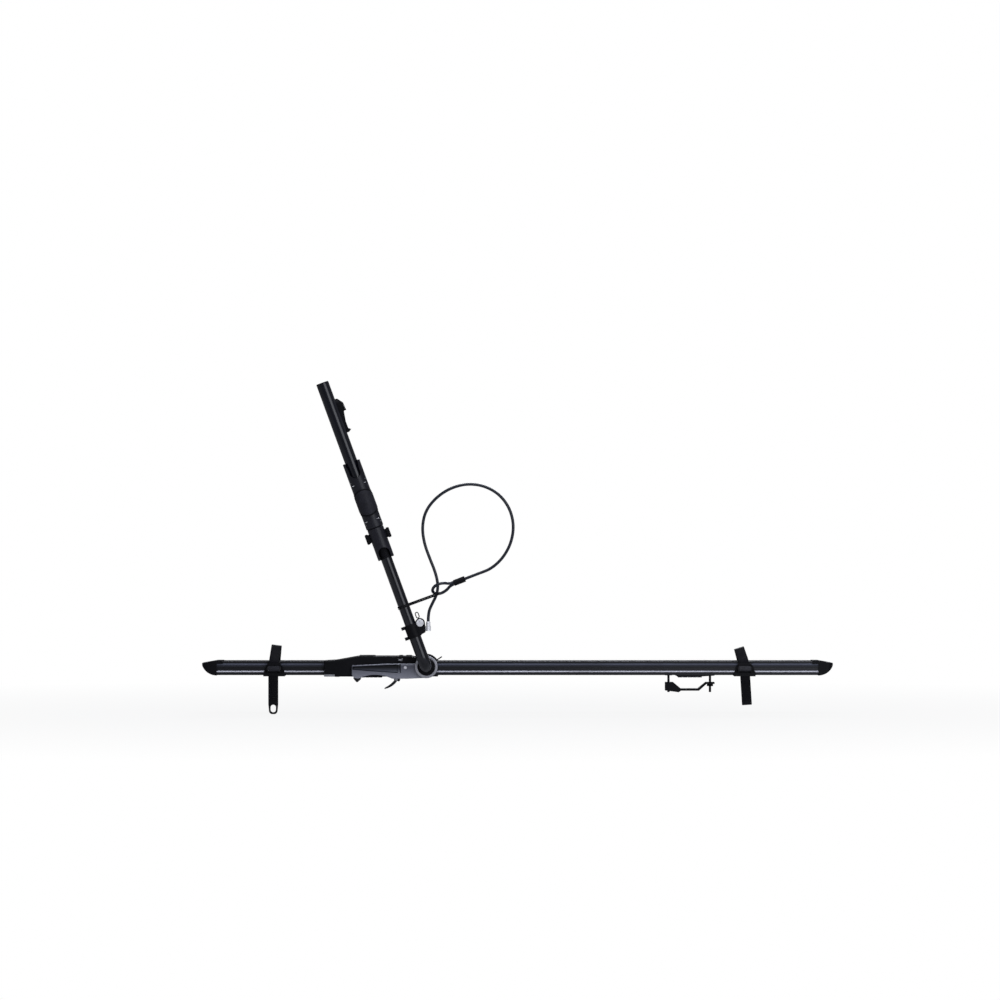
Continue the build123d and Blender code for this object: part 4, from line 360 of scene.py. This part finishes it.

# clamp lever: the casting's lacquer, with painted shade in the dish, darkest at the top and fading out
# towards its lower rim
leverPaint, tree, shader, place = newMaterial(
    "greyLacquerPaintedShade", "3a3c46", 0.36, Metallic=0.6, Coat_Weight=0.3, Coat_Roughness=0.2)
axes = addNode(tree, "SeparateXYZ", {"Vector": place})
level = addNode(tree, "MapRange", {"Value": (axes, "Z"), "From Min": 0.015, "From Max": 0.031})
paintedDishShade = addNode(tree, "ValToRGB", {"Fac": (level, "Result")}, [
    (0.0, "6f737f"), (0.35, "4a4d58"), (0.62, "1c1d24"), (1.0, "08080c")])
flake = addNode(tree, "TexVoronoi", {"Vector": place, "Scale": perMetre(0.4)})
flakeTone = addNode(tree, "ValToRGB", {"Fac": (flake, "Color")}, [(0.1, "c8c8c8"), (0.9, "ffffff")])
tone = addNode(tree, "Mix", {"Factor": 1.0, 6: (paintedDishShade, "Color"), 7: (flakeTone, "Color")},
               data_type="RGBA", blend_type="MULTIPLY")
feed(tree, shader, Base_Color=(tone, 2))
print("stage: finishes")

dress(anodised, "tray_channel")
dress(charcoal, "adjuster_front_shell", "adjuster_rear_shell", "front_buckle_lever", "rear_buckle_lever",
      "release_sleeve")
dress(nylon, "front_end_cap", "rear_end_cap", "base_housing", "paddle_left", "paddle_right", "tube_cap",
      "wheel_hook", "lock_collar", "release_tab", "front_strap_saddle", "rear_strap_saddle",
      "front_buckle", "rear_buckle", "rear_saddle_plate", "rear_clamp_bracket",
      "front_clamp_knob", "rear_clamp_knob", "pivot_hub", "cable_ferrule", "lock_link")
dress(zincLacquer, "base_casting")
dress(leverPaint, "clamp_lever")
dress(glossLacquer, "elbow_tube", "lower_tube", "upper_tube", "front_claw", "clamp_jaw")
dress(zincPlate, "base_screws", "nose_plate", "latch_plate", "jaw_pin", "lever_pin",
      "pivot_retainer", "adjuster_screws", "front_strap_pins", "rear_strap_pins")
dress(blackPlate, "collar_screws", "hook_screws", "rear_studs")
dress(nickelPaintedBright, "cable_pin", "lock_barrel", "casting_rivets")
dress(satinRing, "pivot_ring", "pivot_bush")
settle(cablePiece, "arm", vinyl, "cable_jacket", "security_cable")
settle(eyePiece, "arm", vinyl, "cable_jacket", "cable_eye")
print("stage: CAD nodes dressed")


def carve(piece, kind, **settings):  # one modifier, set and applied
    pick(piece)
    modifier = piece.modifiers.new(kind.lower(), kind)
    for name, value in settings.items():
        setattr(modifier, name, value)
    bpy.ops.object.modifier_apply(modifier=modifier.name)


def soften(piece, width, segments):
    carve(piece, "BEVEL", width=width, segments=segments, limit_method="ANGLE", angle_limit=math.radians(35))
    pick(piece)
    bpy.ops.object.shade_smooth_by_angle(angle=math.radians(40))


def block(name, size, place, turn=(0, 0, 0)):
    nothingSelected()
    bpy.ops.mesh.primitive_cube_add(size=1, location=place, rotation=turn, scale=size)
    bpy.context.object.name = name
    bpy.ops.object.transform_apply(location=False, rotation=False, scale=True)
    return bpy.context.object


def rod(name, radius, depth, place, turn=(0, 0, 0), vertices=64):
    nothingSelected()
    bpy.ops.mesh.primitive_cylinder_add(
        vertices=vertices, radius=radius, depth=depth, location=place, rotation=turn)
    bpy.context.object.name = name
    return bpy.context.object


def cutBy(piece, tool, operation="DIFFERENCE"):
    carve(piece, "BOOLEAN", operation=operation, solver="EXACT", object=tool)
    bpy.data.objects.remove(tool)


def joinInto(piece, others):
    nothingSelected()
    for other in others:
        other.select_set(True)
    piece.select_set(True)
    bpy.context.view_layer.objects.active = piece
    bpy.ops.object.join()
    return piece


def chosen(piece, test):  # vertices that pass the test are selected, in edit mode
    pick(piece)
    bpy.ops.object.mode_set(mode="EDIT")
    bpy.ops.mesh.select_mode(type="VERT")
    bpy.ops.mesh.select_all(action="DESELECT")
    bpy.ops.object.mode_set(mode="OBJECT")
    for vertex in piece.data.vertices:
        vertex.select = test(piece.matrix_world @ vertex.co)
    bpy.ops.object.mode_set(mode="EDIT")


def bentLine(corners, arcSteps=8, longestRun=0.006):
    # corners are (y, z, radius); the inner ones are rounded in 8 steps and long runs are cut into 6 mm ones
    line = [Vector(corners[0][:2])]
    for before, corner, after in zip(corners, corners[1:], corners[2:]):
        spot = Vector(corner[:2])
        back = (Vector(before[:2]) - spot).normalized()
        ahead = (Vector(after[:2]) - spot).normalized()
        half = back.angle(ahead) / 2
        middle = spot + (back + ahead).normalized() * corner[2] / math.sin(half)
        start = spot + back * corner[2] / math.tan(half) - middle
        end = spot + ahead * corner[2] / math.tan(half) - middle
        turn = math.atan2(start.x * end.y - start.y * end.x, start.dot(end))
        line += [middle + Matrix.Rotation(turn * step / arcSteps, 2) @ start for step in range(arcSteps + 1)]
    line.append(Vector(corners[-1][:2]))
    finer = [line[0]]
    for first, second in zip(line, line[1:]):
        pieces = max(1, int((second - first).length / longestRun))
        finer += [first.lerp(second, (step + 1) / pieces) for step in range(pieces)]
    return finer


# ladder straps: a moulded rubber band from the anchor pin in a hoop down through the buckle, ribbed below
straps = {
    "front": {
        "x": -0.2478, "crest": 0.0795, "tail": -0.092, "endRadius": 0.0075, "endWidth": 0.8, "hole": True,
        "bends": [(0.013, -3.0), (0.035, -4.0)], "tailBend": 0.0,
    },
    "rear": {
        "x": 0.9418, "crest": 0.0745, "tail": -0.069, "endRadius": 0.0017, "endWidth": 1.0, "hole": False,
        "bends": [(0.010, 5.0), (0.030, 6.0), (0.045, 6.0)], "tailBend": 3.6,
    },
}
strapBand = {
    "width": 0.025, "thick": 0.0035, "y": 0.04975, "foot": 0.0045, "shoulder": 0.044, "shoulderRadius": 0.014,
    "crestHalf": 0.015, "crestRadius": 0.011, "tailTop": 0.004, "taper": 0.024, "edge": 0.0005,
}
strapHole = {"rise": 0.01145, "radius": 0.00675, "stretch": 0.0055, "through": 0.02, "margin": 0.00005}
ribs = {"first": -0.003, "pitch": 0.0048, "count": 12, "length": 0.019, "height": 0.0017, "stand": 0.0009}
for strapName, strap in straps.items():
    outline = bentLine([
        (strapBand["y"], strapBand["foot"], 0),
        (strapBand["y"], strapBand["shoulder"], strapBand["shoulderRadius"]),
        (strapBand["crestHalf"], strap["crest"], strapBand["crestRadius"]),
        (-strapBand["crestHalf"], strap["crest"], strapBand["crestRadius"]),
        (-strapBand["y"], strapBand["shoulder"], strapBand["shoulderRadius"]),
        (-strapBand["y"], strap["tail"], 0),
    ])
    # the end of the tail is one long step, so that it tapers evenly
    taperTop = strap["tail"] + strapBand["taper"]
    outline = [spot for spot in outline[:-1] if spot.x > 0 or spot.y > taperTop] + outline[-1:]
    nothingSelected()
    sheetZ = strapBand["foot"] - strapBand["width"] / 2
    bpy.ops.mesh.primitive_plane_add(
        size=strapBand["width"], location=(strap["x"], strapBand["y"], sheetZ), rotation=acrossY)
    band = bpy.context.object
    band.name = strapName + "LadderStrap"
    bpy.ops.object.transform_apply(location=True, rotation=True, scale=True)
    chosen(band, lambda spot: spot.z < sheetZ)
    bpy.ops.mesh.delete(type="VERT")
    bpy.ops.mesh.select_all(action="SELECT")
    for here, there in zip(outline, outline[1:]):
        step = (0, there.x - here.x, there.y - here.y)
        bpy.ops.mesh.extrude_region_move(TRANSFORM_OT_translate={"value": step})
    bpy.ops.transform.resize(value=(strap["endWidth"], 1, 1), center_override=(strap["x"], 0, 0))
    bpy.ops.mesh.bevel(offset=strap["endRadius"], segments=6, affect="VERTICES")
    bpy.ops.mesh.select_all(action="SELECT")
    bpy.ops.mesh.normals_make_consistent(inside=False)
    bpy.ops.object.mode_set(mode="OBJECT")
    # the hoop leans along the tray: every bend turns all that stands above it
    for bendZ, degrees in strap["bends"]:
        chosen(band, lambda spot: spot.z > bendZ)
        bpy.ops.transform.rotate(value=math.radians(degrees), orient_axis="Y",
                                 center_override=(strap["x"], 0, bendZ))
        bpy.ops.object.mode_set(mode="OBJECT")
    chosen(band, lambda spot: spot.z < strapBand["tailTop"] and spot.y < 0)
    bpy.ops.transform.rotate(value=math.radians(strap["tailBend"]), orient_axis="Y",
                             center_override=(strap["x"], 0, strapBand["tailTop"]))
    bpy.ops.object.mode_set(mode="OBJECT")
    carve(band, "SOLIDIFY", thickness=strapBand["thick"], offset=0.0, use_even_offset=True)
    tailSlope = math.tan(math.radians(strap["tailBend"]))
    if strap["hole"]:
        holeZ = strap["tail"] + strapHole["rise"]
        tool = rod("holeTool", strapHole["radius"], strapHole["through"],
                   (strap["x"], -strapBand["y"], holeZ), acrossY)
        chosen(tool, lambda spot: spot.z > holeZ + strapHole["margin"])
        bpy.ops.transform.translate(value=(0, 0, strapHole["stretch"]))
        bpy.ops.object.mode_set(mode="OBJECT")
        cutBy(band, tool)
    soften(band, strapBand["edge"], 2)
    rib = block("rib", (ribs["length"], 2 * ribs["stand"], ribs["height"]), (
        strap["x"] + tailSlope * (strapBand["tailTop"] - ribs["first"]),
        -strapBand["y"] - strapBand["thick"] / 2, ribs["first"]),
        (0, math.radians(-strap["tailBend"]), 0))
    soften(rib, strapBand["edge"], 3)
    bpy.ops.object.transform_apply(location=True, rotation=True, scale=True)
    carve(rib, "ARRAY", count=ribs["count"], use_relative_offset=False, use_constant_offset=True,
          constant_offset_displace=(tailSlope * ribs["pitch"], 0, -ribs["pitch"]))
    joinInto(band, [rib])
    settle(band, strapName + "_strap", rubber, "black_rubber", strapName + "_ladder_strap")
print("stage: ladder straps")

# keeper: two loops of two-ply cord that tie the cable to the lower tube, each with its height and its reach
keeper = {
    "loops": [(0.1608, 0.0860), (0.1646, 0.0885)], "plies": [-0.0008, 0.0008], "round": 0.01515,
    "strand": 0.00095, "farShare": 0.52, "aside": -0.0025, "margin": 0.0001, "steps": (96, 12),
}
toRear = (onArm(1, 0, 0) - onArm(0, 0, 0)).normalized()
loops = []
for height, reach in keeper["loops"]:
    for ply in keeper["plies"]:
        middle = onArm(0, 0, height + ply)
        nothingSelected()
        bpy.ops.mesh.primitive_torus_add(
            major_radius=keeper["round"], minor_radius=keeper["strand"], major_segments=keeper["steps"][0],
            minor_segments=keeper["steps"][1], location=middle, rotation=armTurn)
        loop = bpy.context.object
        bpy.ops.object.transform_apply(location=True, rotation=True, scale=True)
        chosen(loop, lambda spot: (spot - middle).dot(toRear) > keeper["margin"])
        bpy.ops.transform.resize(value=(1, keeper["farShare"], 1), center_override=middle)
        shift = toRear * (reach - keeper["round"] * (1 - keeper["farShare"]))
        bpy.ops.transform.translate(value=(shift.x, keeper["aside"], shift.z))
        bpy.ops.object.mode_set(mode="OBJECT")
        loops.append(loop)
keeperPiece = joinInto(loops[0], loops[1:])
keeperPiece.name = "cableKeeper"
pick(keeperPiece)
bpy.ops.object.shade_smooth()
settle(keeperPiece, "arm", braid, "black_rubber", "cable_keeper")
print("stage: keeper")

# grip: a soft panel wrapped round the near half of the barrel, bowed at its top and its foot, in a dark
# rubber band that is painted shadow round the panel's ends
grip = {
    "inner": 0.02233, "outer": 0.0240, "length": 0.080, "height": 0.440, "bow": 0.0312, "edge": 0.0006,
    "shadowSealOuter": 0.02315, "shadowSealBow": 0.0352, "shadowSealEdge": 0.0003, "shadowSealLap": 0.001,
    "farHalf": (0.08, 0.04, 0.12), "through": 0.1, "steps": 128,
}
gripMiddle = onArm(0, 0, grip["height"])


def nearHalf(name, outer, bow, edge, edgeSteps, window=None):
    # a barrel cut by a wide round from the side, bored, and left on the near side alone
    def tool(kind, radius, turn):
        return rod(kind, radius, grip["through"], gripMiddle, turn, grip["steps"])

    piece = rod(name, outer, grip["length"], gripMiddle, armTurn, grip["steps"])
    cutBy(piece, tool("bowTool", bow, acrossY), "INTERSECT")
    soften(piece, edge, edgeSteps)
    cutBy(piece, tool("boreTool", grip["inner"], armTurn))
    if window:
        cutBy(piece, tool("windowTool", window, acrossY))
    cutBy(piece, block("farHalf", grip["farHalf"], onArm(0, grip["farHalf"][1] / 2, grip["height"]), armTurn))
    piece.name = name
    return piece


gripPiece = nearHalf("gripPanel", grip["outer"], grip["bow"], grip["edge"], 3)
settle(gripPiece, "adjuster", softTouch, "black_rubber", "grip_pad")
# the dark band round the panel is painted shadow at its bowed ends
window = grip["bow"] - grip["shadowSealLap"]
shadowSealPiece = nearHalf("gripShadowSeal", grip["shadowSealOuter"], grip["shadowSealBow"], grip["shadowSealEdge"], 2, window)
settle(shadowSealPiece, "adjuster", rubber, "black_rubber")

# liner of the release sleeve, with a lip that closes the joint to the shells
liner = {
    "outer": 0.0143, "bore": 0.0141, "length": 0.0805, "height": 0.33175, "edge": 0.0001,
    "lipRadius": 0.0208, "lip": 0.0014, "lipHeight": 0.37275, "lipEdge": 0.0003, "through": 0.12, "steps": 96,
}
linerMiddle = onArm(0, 0, liner["height"])
linerPiece = rod("sleeveLiner", liner["outer"], liner["length"], linerMiddle, armTurn, liner["steps"])
lipMiddle = onArm(0, 0, liner["lipHeight"])
linerLip = rod("linerLip", liner["lipRadius"], liner["lip"], lipMiddle, armTurn, liner["steps"])
soften(linerLip, liner["lipEdge"], 2)
cutBy(linerPiece, linerLip, "UNION")
cutBy(linerPiece, rod("boreTool", liner["bore"], liner["through"], linerMiddle, armTurn, liner["steps"]))
linerPiece.name = "sleeveLiner"
soften(linerPiece, liner["edge"], 1)
settle(linerPiece, "adjuster", rubber, "black_rubber")

# bright dashes, two pairs on each shell: painted highlights for the glints on the shells
paintedGlintDash = {
    "sides": (-0.015, 0.015), "heights": (0.393, 0.489), "depth": 0.0160,
    "size": (0.0062, 0.0010, 0.0014), "edge": 0.0004,
}
dashes = []
for dashSide in paintedGlintDash["sides"]:
    for dashHeight in paintedGlintDash["heights"]:
        for face in (-1, 1):
            dash = block("dash", paintedGlintDash["size"], onArm(dashSide, face * paintedGlintDash["depth"], dashHeight), armTurn)
            soften(dash, paintedGlintDash["edge"], 3)
            dashes.append(dash)
paintedGlintPiece = joinInto(dashes[0], dashes[1:])
paintedGlintPiece.name = "shellPaintedGlints"
settle(paintedGlintPiece, "adjuster", nickelPaintedBright, "bright_steel")

# rubber pads under both feet: bevelled slabs with four grooves across the underside
pads = {
    "base_pad": {"x": 0.0, "length": 0.052, "half": 0.044},
    "rear_bar_pad": {"x": 0.803, "length": 0.060, "half": 0.038},
}
padForm = {
    "thick": 0.0025, "edge": 0.0004, "groove": 0.0009, "grooveZ": -0.0001, "grooves": 4, "pitchShare": 0.2,
    "overrun": 3, "steps": 24,
}
for padName, pad in pads.items():
    slab = block(padName + "Rubber", (pad["length"], 2 * pad["half"], padForm["thick"]),
                 (pad["x"], 0, padForm["thick"] / 2))
    soften(slab, padForm["edge"], 2)
    pitch = padForm["pitchShare"] * pad["length"]
    firstX = pad["x"] - pitch * (padForm["grooves"] - 1) / 2
    groove = rod("groove", padForm["groove"], padForm["overrun"] * pad["half"],
                 (firstX, 0, padForm["grooveZ"]), acrossY, padForm["steps"])
    bpy.ops.object.transform_apply(location=True, rotation=True, scale=True)
    carve(groove, "ARRAY", count=padForm["grooves"], use_relative_offset=False, use_constant_offset=True,
          constant_offset_displace=(pitch, 0, 0))
    cutBy(slab, groove)
    settle(slab, "tray", softTouch, "black_rubber", padName)

# hook pad: a rubber cushion under the crown of the hook, with ribs in a row towards its tip
hookPad = {
    "size": (0.029, 0.069, 0.0018), "x": 0.0085, "y": 0.0725, "height": 0.7011, "edge": 0.0005,
    "rib": 0.0014, "ribHeight": 0.6999, "ribEdge": 0.0003, "ribs": 11, "pitch": 0.006,
    "steps": 24,
}
cushion = block("hookCushion", hookPad["size"], onArm(hookPad["x"], hookPad["y"], hookPad["height"]), armTurn)
soften(cushion, hookPad["edge"], 2)
firstY = hookPad["y"] - hookPad["pitch"] * (hookPad["ribs"] - 1) / 2
firstRib = onArm(hookPad["x"], firstY, hookPad["ribHeight"])
ribTurn = (0, math.radians(90) - armLean, 0)
cushionRib = rod("cushionRib", hookPad["rib"], hookPad["size"][0], firstRib, ribTurn, hookPad["steps"])
soften(cushionRib, hookPad["ribEdge"], 2)
bpy.ops.object.transform_apply(location=True, rotation=True, scale=True)
carve(cushionRib, "ARRAY", count=hookPad["ribs"], use_relative_offset=False, use_constant_offset=True,
      constant_offset_displace=(0, hookPad["pitch"], 0))
joinInto(cushion, [cushionRib])
cushion.name = "hookCushion"
settle(cushion, "adjuster", softTouch, "black_rubber", "hook_pad")
print("stage: pads and grip")

# floor and light: a pale floor that fades into the white of the backdrop, and soft lamps
lamps = {
    "over": {"power": 62.0, "size": (2.4, 2.4), "from": (0.3, -1.2, 3.2), "to": (0.3, 0.0, 0.2)},
    "softbox": {"power": 60.0, "size": (2.6, 3.4), "from": (2.2, -3.6, 0.9), "to": (0.2, -0.1, 0.4)},
    "left": {"power": 9.0, "size": (1.4, 1.4), "from": (-2.8, -3.0, 2.2), "to": (0.3, 0.0, 0.2)},
    "behind": {"power": 90.0, "size": (2.0, 2.0), "from": (0.6, 3.6, 2.4), "to": (0.3, 0.0, 0.2)},
}
coolWhite = (0.9, 0.93, 1.0)
for lampName, lamp in lamps.items():
    lampData = bpy.data.lights.new(lampName + "Lamp", "AREA")
    lampData.energy = lamp["power"]
    lampData.color = coolWhite
    lampData.shape = "RECTANGLE"
    lampData.size, lampData.size_y = lamp["size"]
    lampObject = bpy.data.objects.new(lampName + "Lamp", lampData)
    lampObject.location = lamp["from"]
    aim = Vector(lamp["to"]) - Vector(lamp["from"])
    lampObject.rotation_euler = aim.to_track_quat("-Z", "Y").to_euler()
    bpy.context.scene.collection.objects.link(lampObject)

# paper floor: the camera sees it fade to white with the distance, and its shadows stay
paper, tree, shader, place = newMaterial("paleStudioPaper", "b4b4b6", 0.9, Specular_IOR_Level=0.2)
fibre = addNode(tree, "TexNoise", {"Vector": place, "Scale": perMetre(16.7), "Detail": 3.0})
tone = addNode(tree, "ValToRGB", {"Fac": (fibre, "Fac")}, [(0.3, "b0b0b2"), (0.7, "b8b8ba")])
feed(tree, shader, Base_Color=(tone, 0))
white = addNode(tree, "Emission", {"Color": (1, 1, 1, 1), "Strength": 1.0})
away = addNode(tree, "VectorMath", {0: place}, operation="LENGTH")
fade = addNode(tree, "MapRange", {"Value": (away, "Value"), "From Min": 0.6, "From Max": 2.6,
                                  "To Min": 0.88, "To Max": 1.0})
paths = addNode(tree, "LightPath")
share = addNode(tree, "Math", {0: (fade, "Result"), 1: (paths, "Is Camera Ray")}, operation="MULTIPLY")
paperMix = addNode(tree, "MixShader", {0: (share, 0), 1: (shader, 0), 2: (white, 0)})
feed(tree, tree.nodes["Material Output"], Surface=(paperMix, 0))
nothingSelected()
floorPlane = {"size": 40.0, "x": 0.3, "below": 0.0005}
bpy.ops.mesh.primitive_plane_add(size=floorPlane["size"], location=(
    floorPlane["x"], 0, cadBox[0][2] - floorPlane["below"]))
floor = bpy.context.object
floor.name = "studioFloor"
floor.data.materials.append(paper)

# surroundings: dim for the lighting, white to the camera
world = bpy.data.worlds.new("softStudio")
world.use_nodes = True
bpy.context.scene.world = world
tree = world.node_tree
glow = tree.nodes["Background"]
glow.inputs["Color"].default_value = hexColour("eef0f4")
glow.inputs["Strength"].default_value = 0.2
seen = addNode(tree, "Background", {"Color": (1, 1, 1, 1), "Strength": 1.0})
rays = addNode(tree, "LightPath")
straight = addNode(tree, "Math", {0: (rays, "Is Camera Ray"), 1: (rays, "Is Transmission Ray")},
                   operation="MAXIMUM")
both = addNode(tree, "MixShader", {0: (straight, 0), 1: (glow, 0), 2: (seen, 0)})
feed(tree, tree.nodes["World Output"], Surface=(both, 0))
bpy.context.scene.view_settings.view_transform = "Standard"
print("stage: floor and light")
